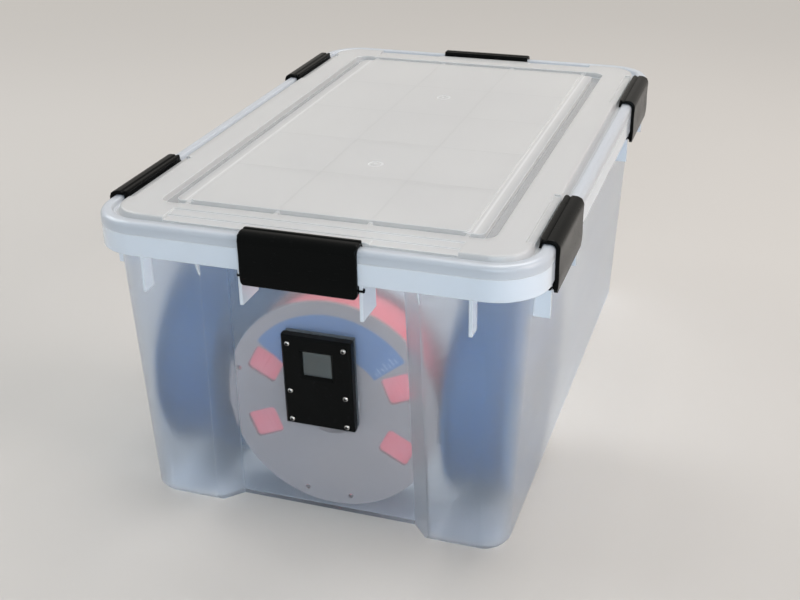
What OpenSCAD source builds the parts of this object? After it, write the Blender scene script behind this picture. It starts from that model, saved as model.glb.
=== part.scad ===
// Filament dryer box: a latching storage tote with a hygrometer in its front panel,
// three filament spools and a desiccant canister inside.
// Origin at the bottom centre. X across, Y along the box with the front at -Y, Z up. Millimetres.

/* [Tote] */
// Width over the rim band
rim_w = 394; // [380:1:410]
// Length over the rim band
rim_l = 598; // [560:1:640]
// Height of the rim's top face, where the lid sits
rim_z = 270.5; // [262:0.5:290]
// Height of the turned-down rim band
band_h = 19; // [16:0.5:22]
// Outer corner radius of the rim band
rim_r = 45; // [42:1:50]
// How far the rim band stands out from the wall below it
overhang = 14; // [13:0.5:16]
// Wall thickness
wall = 2.5; // [2:0.1:3]
// Floor thickness
floor_t = 3; // [2.5:0.1:5]
// Draft of the long sides from the floor to the band
draft_x = 12; // [8:0.5:14]
// Draft of the ends from the floor to the band
draft_y = 5; // [3:0.5:8]
// Corner radius of the body at the floor
foot_r = 24; // [20:1:30]

/* [End panels] */
// Half width of the recessed panel at the floor
recess_half = 84; // [78:1:88]
// Depth of the recessed panel at the floor
recess_depth = 20; // [16:0.5:22]
// How much shallower the recess is at the band
recess_fade = 3; // [0:0.5:6]
// Width of the slanted side of the recess
recess_slant = 20; // [16:1:24]

/* [Lid] */
// Height of the lid's border above the rim
border_h = 12.5; // [11.5:0.5:14]
// Height of the rim bead above the rim
bead_h = 10.8; // [10:0.1:11.4]
// Height of the hook groove's floor above the rim
groove_h = 6.1; // [5.5:0.1:6.5]
// Lid wall thickness
lid_t = 2.5; // [2:0.1:2.8]
// Width of the border from the band's face to the gutter
border_w = 48; // [46:1:56]
// Width of the sloped shoulder beside the centre panel
shoulder_w = 13; // [10:0.5:15]
// Width of the gutter channel
gutter_w = 11; // [9:0.5:12]

/* [Latches] */
// Length of each latch
latch_w = 102; // [90:1:110]
// Distance of the side latches' middles from the ends of the box
latch_end = 105; // [103:1:130]
// Height of the latch hinge below the band
pivot_drop = 5.5; // [5:0.1:6.5]
// Radius of a latch hinge pin
pin_r = 2; // [1.5:0.1:2.2]
// Radial clearance of a hinge pin in its bracket
pin_gap = 0.06; // [0.03:0.01:0.1]
// Thickness of a bracket tab
tab_t = 3; // [2.5:0.1:3.5]

/* [Hygrometer] */
// Width of the bezel
bezel_w = 64; // [60:1:68]
// Height of the bezel
bezel_h = 89; // [86:1:94]
// Depth of the bezel
bezel_d = 8.5; // [8.5:0.1:12]
// Height of the bezel's centre above the floor
bezel_z = 139; // [120:1:150]
// Sideways place of the bezel's centre
bezel_x = 1; // [-10:0.5:10]
// Radius of a screw shank
screw_r = 1.5; // [1.25:0.05:1.6]

/* [Spools] */
// Spool diameter
spool_d = 200; // [190:1:200]
// Sideways place of the front spool
spool_off = 4; // [0:0.5:8]
// Spool width over its flanges
spool_w = 56; // [50:1:56]
// Hub hole diameter
hub_d = 55; // [50:1:58]
// Diameter of the wound filament
wound_d = 186; // [160:1:188]

/* [Desiccant] */
// Canister diameter
can_d = 90; // [70:1:100]
// Canister height without its cap
can_h = 70; // [50:1:90]

/* [Hidden] */
$fn = 48;
skin = 0.4;

hx = rim_w / 2;
hy = rim_l / 2;
band_z = rim_z - band_h;
wall_hx = hx - overhang;
wall_hy = hy - overhang;
wall_r = rim_r - overhang;
foot_hx = wall_hx - draft_x;
foot_hy = wall_hy - draft_y;
foot_chamfer = 4;
recess_top = recess_depth - recess_fade;
recess_rise = draft_y + recess_fade;
recess_lean = atan(recess_rise / band_z);
recess_taper = 5;
recess_foot_y = foot_hy - recess_depth;
flange_t = 2.5;
lip_h = 1.1;
clear_groove = 0.7;

lid_top = rim_z + border_h;
bead_top = rim_z + bead_h;
groove_z = rim_z + groove_h;
bead_r = 5;
bead_w = 9;
groove_in = 15.5;
border_in = 21;
gutter_hx = hx - border_w;
gutter_hy = hy - border_w;
gutter_z = rim_z + 6.5;
gutter_r = 12;
shoulder_hx = gutter_hx - gutter_w;
shoulder_z = lid_top - 1.5;
panel_half_w = shoulder_hx - shoulder_w;
panel_half_l = gutter_hy - gutter_w;
panel_r = 6;
terrace_half = panel_half_w + 3;
rib_x = panel_half_w / 3;
rib_y = panel_half_l / 5;
rib_t = 1.6;
rib_drop = 8;
terrace_drop = 2.8;
bridge_t = 3;
gate_y = 110;
gate_r = 7;
gate_depth = 0.4;

seal_in = -overhang - wall - 0.8;
seal_out = -overhang + 1;
seal_rib_t = 1.4;

pivot_in = 3;
pivot_z = band_z - pivot_drop;
latch_y = rim_l / 2 - latch_end;
latch_out = 3.7;
latch_t = 3.3;
latch_reach = 13.8;
latch_lip_t = 2.4;
latch_top_r = 8;
// Groove along the top of a latch: its place in from the band's face, and its depth
latch_line_in = 7.6;
latch_line = 0.8;
latch_low = pivot_z - 7;
latch_top = lid_top + 2.3;
barrel_r = 3.6;
tab_drop = 27;
tab_low = pivot_z - tab_drop;
corner_tab = 143;
thin_rib = 97;
thin_rib_t = 1.6;
thin_rib_drop = 16;
tab_gap = 0.4;
tab_face = 1.2;
pin_end = latch_w / 2 + tab_gap + tab_t + 1;
// Finger notch in the border beside a latch: half length, its place in from the band's face, depth
notch_half = latch_w / 2 + 3;
notch_w = 7;
notch_in = groove_in + 1 + notch_w;
notch_depth = 2;

screw_x = bezel_w / 2 - 6.4;
screw_rows = [bezel_h / 2 - 7.5, -10, -bezel_h / 2 + 5.5];
seal_t = 1;
plate_t = 3;
window_w = 26;
window_h = 23;
window_y = 18;
pane_t = 1.5;
display_t = 1.2;
board_w = 40;
board_h = 66;
board_t = 1.6;
opening_w = 42;
opening_h = 70;
nut_h = 2.4;
cell_d = 20;
cell_t = 3.2;
face_z = seal_t + bezel_d;
pane_z = face_z - 4;
board_z = seal_t + 0.4;

flange_w = 3;
core_d = 100;
wound_gap = 0.3;
spool_z = floor_t + spool_d / 2;
spool_gap = 1;
spool_wall_gap = 4;
spool_front_gap = 3.2;
spool_end_gap = 17;
// The front spool leans back between the other two, on the rim of its rear flange
front_lean = 3;
front_deep = spool_w * cos(front_lean) + spool_d * sin(front_lean);
front_tall = spool_d * cos(front_lean) + spool_w * sin(front_lean);
front_spool = [spool_off,
    -recess_foot_y + spool_front_gap + front_deep / 2,
    floor_t + front_tall / 2];
side_spool_x = foot_hx - wall - spool_wall_gap - spool_w / 2;
// The side spools stand beside the front one where there is room, and behind it where there isn't
beside = spool_off + spool_d / 2 + spool_gap <= side_spool_x - spool_w / 2;
side_spool_y = spool_d / 2 + (beside ? -foot_hy + spool_end_gap
    : front_spool[1] + front_deep / 2 + spool_gap);
window_angles = [23, 153, 203, 333];
window_r = 69.5;
window_half = [14.5, 12.5];
clip_angles = [165, 254.5, 281];
clip_r = spool_d / 2 - 8.5;
clip_hole_r = 2.3;
label_t = 0.4;
label_in = hub_d - 3;
label_out = spool_d / 2 - 12.5;
label_half = 52;

can_y = 150;
can_wall = 2;
cap_h = 8;

function arc(cx, cy, r, a0, a1, steps) =
    [for (i = [0:steps]) [cx + r * cos(a0 + (a1 - a0) * i / steps),
        cy + r * sin(a0 + (a1 - a0) * i / steps)]];

// Rounded rectangle of half sizes x and y and corner radius r, built from true circles
module rounded_rect(x, y, r) {
    square([2 * x, 2 * (y - r)], center = true);
    square([2 * (x - r), 2 * y], center = true);
    for (sx = [-1, 1], sy = [-1, 1])
        translate([sx * (x - r), sy * (y - r)]) circle(r);
}

module plate(x, y, r, z0, z1) {
    translate([0, 0, z0]) linear_extrude(z1 - z0) rounded_rect(x, y, r);
}

// Sweeps a profile round the rim. The profile's x is 0 at the band's outer face and negative inside.
module rim_sweep() {
    for (sx = [0, 1], sy = [0, 1])
        mirror([sx, 0, 0]) mirror([0, sy, 0])
            translate([hx - rim_r, hy - rim_r, 0]) rotate_extrude(angle = 90)
                translate([rim_r, 0]) children();
    for (s = [0, 180]) {
        rotate(s) translate([hx, hy - rim_r, 0]) rotate([90, 0, 0])
            linear_extrude(2 * (hy - rim_r)) children();
        rotate(s) translate([-hx + rim_r, hy, 0]) rotate([90, 0, 90])
            linear_extrude(2 * (hx - rim_r)) children();
    }
}

// Puts a piece drawn facing +Y, with its origin on the band's outer face, on one side of the box
module on_side(side, along) {
    if (side == "front") translate([along, -hy, 0]) rotate(180) children();
    if (side == "back") translate([along, hy, 0]) children();
    if (side == "right") translate([hx, along, 0]) rotate(-90) children();
    if (side == "left") translate([-hx, along, 0]) rotate(90) children();
}

latch_places = [["front", 0], ["back", 0], ["left", -latch_y], ["left", latch_y],
    ["right", -latch_y], ["right", latch_y]];

// The tub's tapered form, made smaller all round by inset
module tub_form(inset, z0) {
    $fn = 32;
    lower = foot_chamfer + inset;
    hull() {
        plate(foot_hx - lower, foot_hy - lower, foot_r - foot_chamfer - inset, z0, z0 + skin);
        plate(foot_hx - inset, foot_hy - inset, foot_r - inset, z0 + 5, z0 + 5 + skin);
        plate(wall_hx - inset, wall_hy - inset, wall_r - inset, band_z - skin, band_z);
    }
    plate(wall_hx - inset, wall_hy - inset, wall_r - inset, band_z, rim_z);
}

// Where the leaning end panel stands at height z, moved in by grow square to its face
function recess_y(z, grow) = recess_foot_y + recess_rise * z / band_z - grow / cos(recess_lean);

// The space in front of a recessed end panel, grown by the wall for the inner shell
module recess(grow) {
    top = band_z + grow;
    half = recess_half + grow;
    outer = recess_half + recess_slant + grow * 1.4;
    hull() {
        translate([0, 0, -skin]) linear_extrude(skin)
            polygon([[-half, recess_y(0, grow)], [half, recess_y(0, grow)],
                [outer, foot_hy + 2], [-outer, foot_hy + 2]]);
        translate([0, 0, top - skin]) linear_extrude(skin)
            polygon([[-half + recess_taper, recess_y(top, grow)],
                [half - recess_taper, recess_y(top, grow)],
                [outer - recess_taper - 1, wall_hy + 2], [-outer + recess_taper + 1, wall_hy + 2]]);
    }
}

// A bracket tab between the wall and the band, with the hinge bore when it carries a latch
module tab(back, bored) {
    difference() {
        union() {
            translate([-tab_t / 2, -back, tab_low])
                cube([tab_t, back - tab_face, band_z - tab_low + 0.5]);
            translate([-tab_t / 2, -overhang - wall / 2, band_z])
                cube([tab_t, overhang + wall / 2 - tab_face, band_h - 1]);
        }
        if (bored) translate([0, -pivot_in, pivot_z]) rotate([0, 90, 0])
            cylinder(r = pin_r + pin_gap, h = 2 * tab_t, center = true);
    }
}

// A thin rib inside the band that runs out in a triangle on the wall below it
module gusset(back) {
    rotate([90, 0, 90]) linear_extrude(thin_rib_t, center = true)
        polygon([[-back, pivot_z - thin_rib_drop], [-back, rim_z - 1], [-tab_face, rim_z - 1],
            [-tab_face, band_z], [-overhang / 2, band_z]]);
}

module band_profile() {
    polygon([[0, band_z], [0, rim_z], [-overhang - wall, rim_z], [-overhang - wall, rim_z - flange_t],
        [-wall, rim_z - flange_t], [-wall, band_z]]);
    translate([-overhang - wall, rim_z - 1]) square([wall, lip_h + 1]);
}

module tub() {
    recess_tab = overhang + recess_top + wall * 0.7;
    wall_tab = overhang + wall * 0.95;
    color([0.86, 0.89, 0.95, 0.55]) difference() {
        union() {
            difference() {
                tub_form(0, 0);
                difference() {
                    tub_form(wall, floor_t);
                    for (s = [0, 180]) rotate(s) recess(wall);
                }
                for (s = [0, 180]) rotate(s) recess(0);
                translate([0, 0, rim_z - 1]) plate(wall_hx - wall, wall_hy - wall, wall_r - wall, 0, 2);
            }
            rim_sweep() band_profile();
            for (place = latch_places, s = [-1, 1]) {
                back = place[0] == "front" || place[0] == "back" ? recess_tab : wall_tab;
                on_side(place[0], place[1] + s * (latch_w / 2 + tab_gap + tab_t / 2)) tab(back, true);
            }
            for (side = ["front", "back"], s = [-1, 1]) {
                on_side(side, s * corner_tab) tab(wall_tab, false);
                on_side(side, s * thin_rib) gusset(wall_tab);
            }
        }
        hygrometer_frame() {
            translate([-opening_w / 2, -opening_h / 2, -wall - 3]) cube([opening_w, opening_h, wall + 4]);
            at_screws() translate([0, 0, -wall - 3]) cylinder(r = screw_r + 0.2, h = wall + 4);
        }
    }
}

module lid_edge_profile() {
    polygon(concat([[0, rim_z]],
        arc(-bead_r, bead_top - bead_r, bead_r, 0, 90, 6),
        arc(-bead_w, bead_top - 1.5, 1.5, 90, 170, 3),
        [[-bead_w - 2, groove_z + 0.6], [-bead_w - 2.6, groove_z], [-groove_in + 0.6, groove_z]],
        [[-groove_in, groove_z + 0.6], [-groove_in - 1.6, lid_top - 1.5]],
        arc(-groove_in - 3.4, lid_top - 1.8, 1.8, 10, 90, 4),
        [[-border_in, lid_top], [-border_in, lid_top - lid_t], [-groove_in - 3.6, lid_top - lid_t],
            [-groove_in - 1.9, groove_z - lid_t], [-bead_w - 0.2, groove_z - lid_t],
            [-bead_w + 0.8, bead_top - lid_t], [-lid_t - 2, bead_top - lid_t],
            [-lid_t, bead_top - lid_t - 2], [-lid_t, rim_z]]));
}

// The stepped border between the corner pads, drawn over y outwards from the gutter
module terrace_profile() {
    y0 = gutter_hy - 1;
    y1 = hy - groove_in - 1.2;
    step = (y1 - y0) / 3;
    difference() {
        polygon([[y0, lid_top - lid_t], [y0, lid_top], [y0 + step, lid_top],
            [y0 + step + 0.6, lid_top - 1.2], [y0 + 2 * step, lid_top - 1.4],
            [y0 + 2 * step + 0.6, lid_top - 2.6], [y1, lid_top - terrace_drop],
            [y1, lid_top - terrace_drop - lid_t]]);
        translate([y0 + lid_t, lid_top - border_h])
            square([y1 - y0 - 2 * lid_t, border_h - terrace_drop - lid_t + 0.2]);
    }
}

module lid() {
    inner_x = hx - border_in + 0.5;
    inner_y = hy - border_in + 0.5;
    pad_z = lid_top - lid_t;
    color([0.93, 0.93, 0.92, 0.7]) union() {
        difference() {
            union() {
                rim_sweep() lid_edge_profile();
                difference() {
                    plate(inner_x, inner_y, rim_r - border_in + 0.5, pad_z, lid_top);
                    plate(gutter_hx, gutter_hy, gutter_r, pad_z - 1, lid_top + 1);
                }
            }
            for (s = [0, 180]) rotate(s) translate([-terrace_half, gutter_hy, lid_top - rib_drop])
                cube([2 * terrace_half, hy - groove_in - 0.8 - gutter_hy, rib_drop + 1]);
            for (place = latch_places) on_side(place[0], place[1])
                translate([-notch_half, -notch_in, lid_top - notch_depth])
                    cube([2 * notch_half, notch_w, notch_depth + 1]);
        }
        for (s = [0, 180]) rotate(s) difference() {
            translate([-terrace_half, 0, 0]) rotate([90, 0, 90])
                linear_extrude(2 * terrace_half) terrace_profile();
            translate([-notch_half, hy - notch_in, lid_top - notch_depth])
                cube([2 * notch_half, notch_w, notch_depth + 1]);
        }
        for (place = latch_places) on_side(place[0], place[1])
            translate([-notch_half - 1, -notch_in - 1, lid_top - 2 * notch_depth])
                cube([2 * notch_half + 2, notch_w + 1, notch_depth]);
        gutter();
        centre_panel();
        seal_ribs();
    }
}

module gutter() {
    difference() {
        plate(gutter_hx + lid_t, gutter_hy + lid_t, gutter_r + lid_t, gutter_z - lid_t, lid_top - 0.2);
        plate(gutter_hx, gutter_hy, gutter_r, gutter_z, lid_top + 1);
        plate(shoulder_hx - lid_t, panel_half_l - lid_t, panel_r - 2, gutter_z - lid_t - 1, lid_top + 1);
    }
    for (s = [-1, 1], x = [-panel_half_w, -rib_x, rib_x, panel_half_w])
        translate([x - bridge_t / 2, s > 0 ? panel_half_l - 1 : -gutter_hy - 1, gutter_z - 1])
            cube([bridge_t, gutter_w + 2, lid_top - gutter_z - 1]);
}

// The ring and pip that the moulding gate leaves
module gate_mark() {
    difference() {
        cylinder(r = gate_r, h = 1);
        translate([0, 0, -1]) cylinder(r = gate_r - 1.4, h = 3);
    }
    cylinder(r = 1.4, h = 1);
}

module centre_panel() {
    difference() {
        plate(shoulder_hx, panel_half_l, panel_r, gutter_z - 1, shoulder_z);
        plate(shoulder_hx - lid_t, panel_half_l - lid_t, panel_r - 2, gutter_z - 2, shoulder_z - lid_t);
    }
    difference() {
        plate(panel_half_w, panel_half_l, panel_r, shoulder_z - 0.5, lid_top);
        for (s = [-1, 1]) translate([0, s * gate_y, lid_top - gate_depth]) gate_mark();
    }
    for (x = [-rib_x, rib_x]) translate([x - rib_t / 2, -panel_half_l + 1, lid_top - rib_drop])
        cube([rib_t, 2 * panel_half_l - 2, 5]);
    for (k = [-3, -1, 1, 3]) translate([-shoulder_hx + 1, k * rib_y - rib_t / 2, lid_top - rib_drop])
        cube([2 * shoulder_hx - 2, rib_t, 5]);
}

// Two downward ribs under the groove that hold the gasket between them
module seal_ribs() {
    rim_sweep() for (x = [seal_in - seal_rib_t, seal_out]) translate([x, rim_z + lip_h + 0.4])
        square([seal_rib_t, groove_z - rim_z - lip_h]);
}

module lid_gasket() {
    color([0.82, 0.84, 0.86]) rim_sweep() translate([seal_in, rim_z + lip_h])
        square([seal_out - seal_in, groove_z - lid_t - rim_z - lip_h]);
}

// A latch facing +Y: a bent plate with a hook lip on top and a hinge barrel with two pins below
module latch() {
    z_in = bead_top + clear_groove;
    face_in = latch_out - latch_t;
    in_r = latch_top_r - latch_t;
    color([0.05, 0.05, 0.055]) {
        rotate([90, 0, 90]) linear_extrude(latch_w, center = true) difference() {
            polygon(concat([[-latch_reach, latch_low], [-latch_reach, latch_top],
                [-latch_line_in - 2 * latch_line, latch_top],
                [-latch_line_in - latch_line, latch_top - latch_line],
                [-latch_line_in, latch_top]],
                arc(latch_out - latch_top_r, latch_top - latch_top_r, latch_top_r, 90, 0, 8),
                [[latch_out, pivot_z + 2], [latch_out - 1, latch_low]]));
            polygon(concat([[-latch_reach - 1, latch_low - 1], [-latch_reach - 1, z_in]],
                arc(face_in - in_r, z_in - in_r, in_r, 90, 0, 6),
                [[face_in, pivot_z + 3], [face_in - 1, pivot_z - 2], [face_in - 0.4, latch_low - 1]]));
        }
        translate([-latch_w / 2, -latch_reach, groove_z + 1.2])
            cube([latch_w, latch_lip_t, z_in - groove_z]);
        translate([-latch_w / 2, -pivot_in, pivot_z - 3]) cube([latch_w, pivot_in + face_in + 1, 3.5]);
        translate([0, -pivot_in, pivot_z]) rotate([0, 90, 0]) {
            cylinder(r = barrel_r, h = latch_w, center = true);
            cylinder(r = pin_r, h = 2 * pin_end, center = true);
        }
    }
}

module latch_front() on_side("front", 0) latch();
module latch_back() on_side("back", 0) latch();
module latch_left_front() on_side("left", -latch_y) latch();
module latch_left_rear() on_side("left", latch_y) latch();
module latch_right_front() on_side("right", -latch_y) latch();
module latch_right_rear() on_side("right", latch_y) latch();

// Frame of the hygrometer: origin on the outer face of the leaning front panel, local z outwards
module hygrometer_frame() {
    translate([bezel_x, -foot_hy + recess_depth - bezel_z * tan(recess_lean), bezel_z])
        rotate([90 + recess_lean, 0, 0]) children();
}

module at_screws() {
    for (x = [-screw_x, screw_x], y = screw_rows) translate([x, y, 0]) children();
}

module slab(w, h, z0, z1) {
    translate([-w / 2, -h / 2, z0]) cube([w, h, z1 - z0]);
}

module hygrometer_bezel() {
    bevel = 2;
    cavity_w = opening_w;
    color([0.03, 0.03, 0.035]) hygrometer_frame() difference() {
        hull() {
            slab(bezel_w, bezel_h, seal_t, face_z - bevel);
            slab(bezel_w - 2 * bevel, bezel_h - 2 * bevel, seal_t, face_z);
        }
        slab(cavity_w, opening_h, seal_t - 1, pane_z - 0.5);
        translate([0, window_y, 0]) {
            slab(window_w, window_h, pane_z - 1, face_z + 1);
            hull() {
                slab(window_w, window_h, face_z - 2.5, face_z - 2.4);
                slab(window_w + 5, window_h + 5, face_z, face_z + 0.1);
            }
            slab(window_w + 4, window_h + 4, pane_z - 1, pane_z + pane_t);
        }
        at_screws() translate([0, 0, seal_t - 1]) cylinder(r = screw_r + 0.1, h = bezel_d + 2);
    }
}

module hygrometer_pane() {
    color([0.8, 0.85, 0.88, 0.5]) hygrometer_frame() translate([0, window_y, 0])
        slab(window_w + 4, window_h + 4, pane_z, pane_z + pane_t);
}

module hygrometer_display() {
    color([0.45, 0.48, 0.47]) hygrometer_frame() translate([0, window_y, 0])
        slab(window_w + 3, window_h + 3, pane_z - display_t, pane_z);
}

module hygrometer_board() {
    color([0.1, 0.35, 0.2]) hygrometer_frame() {
        slab(board_w, board_h, board_z, board_z + board_t);
        translate([0, window_y, 0]) slab(window_w, window_h, board_z + board_t, pane_z - display_t);
        for (y = [-board_h / 2 + 4, -4]) for (x = [-board_w / 2 + 4, board_w / 2 - 4])
            translate([x, y, board_z + board_t]) cylinder(r = 2, h = pane_z - 0.5 - board_z - board_t);
        translate([0, -22, 0]) slab(6, 6, board_z - 2, board_z);
    }
}

module coin_cell() {
    color([0.75, 0.76, 0.78]) hygrometer_frame() translate([0, 10, board_z - cell_t])
        cylinder(d = cell_d, h = cell_t);
}

module bezel_gasket() {
    color([0.12, 0.12, 0.13]) hygrometer_frame() difference() {
        slab(bezel_w - 1, bezel_h - 1, 0.01, seal_t);
        slab(opening_w, opening_h, -1, seal_t + 1);
        at_screws() translate([0, 0, -1]) cylinder(r = screw_r + 0.2, h = seal_t + 2);
    }
}

module hygrometer_backplate() {
    color([0.05, 0.05, 0.055]) hygrometer_frame() difference() {
        slab(bezel_w - 1, bezel_h - 1, -wall - plate_t, -wall - 0.01);
        for (k = [-5:5]) translate([0, k * 5.6, 0]) slab(30, 2.6, -wall - plate_t - 1, -wall + 1);
        at_screws() translate([0, 0, -wall - plate_t - 1]) cylinder(r = screw_r + 0.1, h = plate_t + 2);
    }
}

module bezel_screws() {
    color([0.85, 0.85, 0.87]) hygrometer_frame() at_screws() {
        translate([0, 0, face_z]) difference() {
            cylinder(r = 2.8, h = 1.8);
            translate([0, 0, 0.8]) cylinder(r = 1.15, h = 2, $fn = 6);
        }
        translate([0, 0, -wall - plate_t - nut_h - 0.4])
            cylinder(r = screw_r, h = face_z + wall + plate_t + nut_h + 0.4);
    }
}

module bezel_nuts() {
    color([0.78, 0.78, 0.8]) hygrometer_frame() at_screws()
        translate([0, 0, -wall - plate_t - nut_h]) difference() {
            cylinder(r = 3.1, h = nut_h, $fn = 6);
            translate([0, 0, -1]) cylinder(r = screw_r, h = nut_h + 2);
        }
}

// A reel lies flat here: its axis is local z and its labelled flange is at +z
module reel() {
    difference() {
        union() {
            for (z = [-spool_w / 2, spool_w / 2 - flange_w]) translate([0, 0, z])
                cylinder(d = spool_d, h = flange_w, $fn = 96);
            cylinder(d = core_d, h = spool_w - 2, center = true);
        }
        cylinder(d = hub_d, h = spool_w + 2, center = true);
        difference() {
            cylinder(d = core_d - 6, h = spool_w - 2 * flange_w, center = true);
            cylinder(d = hub_d + 5, h = spool_w, center = true);
        }
        for (a = window_angles) rotate(a) translate([window_r, 0, -spool_w])
            linear_extrude(2 * spool_w) rounded_rect(window_half[0], window_half[1], 4);
        for (a = clip_angles) rotate(a) translate([clip_r, 0, -spool_w])
            cylinder(r = clip_hole_r, h = 2 * spool_w);
    }
}

module filament() {
    difference() {
        cylinder(d = wound_d, h = spool_w - 2 * flange_w, center = true, $fn = 96);
        cylinder(d = core_d, h = spool_w, center = true);
    }
}

module spool_label() {
    reach = spool_d * 0.65;
    translate([0, 0, spool_w / 2]) linear_extrude(label_t) intersection() {
        difference() {
            circle(r = label_out, $fn = 96);
            circle(r = label_in, $fn = 96);
        }
        polygon([[0, 0], [reach * sin(label_half), reach * cos(label_half)], [0, 1.5 * reach],
            [-reach * sin(label_half), reach * cos(label_half)]]);
    }
}

// Places a spool standing on the floor with its label towards the front or outwards
module stand(which) {
    if (which == "front") translate(front_spool) rotate([90 - front_lean, 0, 0]) children();
    if (which == "right") translate([side_spool_x, side_spool_y, spool_z])
        rotate([90, 0, 90]) children();
    if (which == "left") translate([-side_spool_x, side_spool_y, spool_z])
        rotate([90, 0, -90]) children();
}

module front_reel() color([0.72, 0.69, 0.66]) stand("front") reel();
module front_filament() color([0.86, 0.25, 0.27]) stand("front") filament();
module front_label() color([0.16, 0.23, 0.42]) stand("front") spool_label();
module left_reel() color([0.72, 0.69, 0.66]) stand("left") reel();
module left_filament() color([0.13, 0.27, 0.6]) stand("left") filament();
module left_label() color([0.16, 0.23, 0.42]) stand("left") spool_label();
module right_reel() color([0.72, 0.69, 0.66]) stand("right") reel();
module right_filament() color([0.13, 0.27, 0.6]) stand("right") filament();
module right_label() color([0.16, 0.23, 0.42]) stand("right") spool_label();

module desiccant_canister() {
    slots = 12;
    color([0.9, 0.9, 0.88]) translate([0, can_y, floor_t]) difference() {
        cylinder(d = can_d, h = can_h);
        translate([0, 0, can_wall]) cylinder(d = can_d - 2 * can_wall, h = can_h);
        for (k = [0:slots - 1], row = [0, 1]) rotate(k * 360 / slots)
            translate([can_d / 2 - 4, -1.5, 10 + row * 28]) cube([8, 3, 20]);
    }
}

module canister_cap() {
    rim = can_d / 2 + can_wall + 0.3;
    color([0.9, 0.9, 0.88]) translate([0, can_y, floor_t + can_h - cap_h + can_wall]) difference() {
        cylinder(r = rim, h = cap_h);
        translate([0, 0, -1]) cylinder(d = can_d + 0.4, h = cap_h - can_wall + 1);
        for (ring = [0:2], k = [0:ring * 6 + 5]) rotate(k * 360 / (ring * 6 + 6))
            translate([10 + ring * 10, 0, 0]) cylinder(r = 1.8, h = 2 * cap_h);
    }
}

module desiccant_beads() {
    color([0.95, 0.55, 0.15]) translate([0, can_y, floor_t + can_wall])
        cylinder(d = can_d - 2 * can_wall - 0.4, h = can_h * 0.8);
}

tub();
lid();
lid_gasket();
latch_front();
latch_back();
latch_left_front();
latch_left_rear();
latch_right_front();
latch_right_rear();
hygrometer_bezel();
hygrometer_pane();
hygrometer_display();
hygrometer_board();
coin_cell();
bezel_gasket();
hygrometer_backplate();
bezel_screws();
bezel_nuts();
front_reel();
front_filament();
front_label();
left_reel();
left_filament();
left_label();
right_reel();
right_filament();
right_label();
desiccant_canister();
canister_cap();
desiccant_beads();
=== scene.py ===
"""The looks of a filament dryer box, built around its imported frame.

A translucent latching tote holds three filament spools and a canister of desiccant, and a
hygrometer is screwed to its front panel. Everything is in metres, in the frame's own axes:
X across, Y along the box with the front at -Y, Z up.
"""

import logging
import math
from collections.abc import Callable, Iterator, Sequence
from contextlib import contextmanager
from dataclasses import dataclass, field, replace
from enum import Enum
from functools import reduce
from itertools import product

import bmesh
import bpy
from mathutils import Matrix, Vector
from mathutils.bvhtree import BVHTree


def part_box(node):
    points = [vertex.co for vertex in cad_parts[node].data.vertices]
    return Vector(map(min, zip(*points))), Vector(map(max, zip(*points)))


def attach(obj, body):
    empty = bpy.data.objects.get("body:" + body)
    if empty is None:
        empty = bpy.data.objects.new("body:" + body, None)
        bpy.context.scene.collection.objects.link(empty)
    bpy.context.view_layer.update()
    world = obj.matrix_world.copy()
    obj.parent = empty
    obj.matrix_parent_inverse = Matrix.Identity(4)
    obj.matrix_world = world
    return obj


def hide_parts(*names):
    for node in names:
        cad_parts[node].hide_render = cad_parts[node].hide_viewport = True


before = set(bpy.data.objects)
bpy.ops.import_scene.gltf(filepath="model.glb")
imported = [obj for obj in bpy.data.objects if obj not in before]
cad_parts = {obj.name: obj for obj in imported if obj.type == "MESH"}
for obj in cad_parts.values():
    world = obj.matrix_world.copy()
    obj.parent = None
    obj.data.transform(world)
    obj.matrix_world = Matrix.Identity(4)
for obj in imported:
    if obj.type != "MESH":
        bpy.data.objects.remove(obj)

MM = 0.001
WELD = 2e-6  # points closer than this are joined
FINE_WELD = 1e-7  # the same for a mesh with very fine detail
NEEDLE = 1e-7  # the radius that a lathe gives a point on its axis
Colour = Place = tuple[float, float, float]
Point = tuple[float, float]
log = logging.getLogger("dryer_box")


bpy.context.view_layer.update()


# ---------------------------------------------------------------- shader maths


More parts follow.
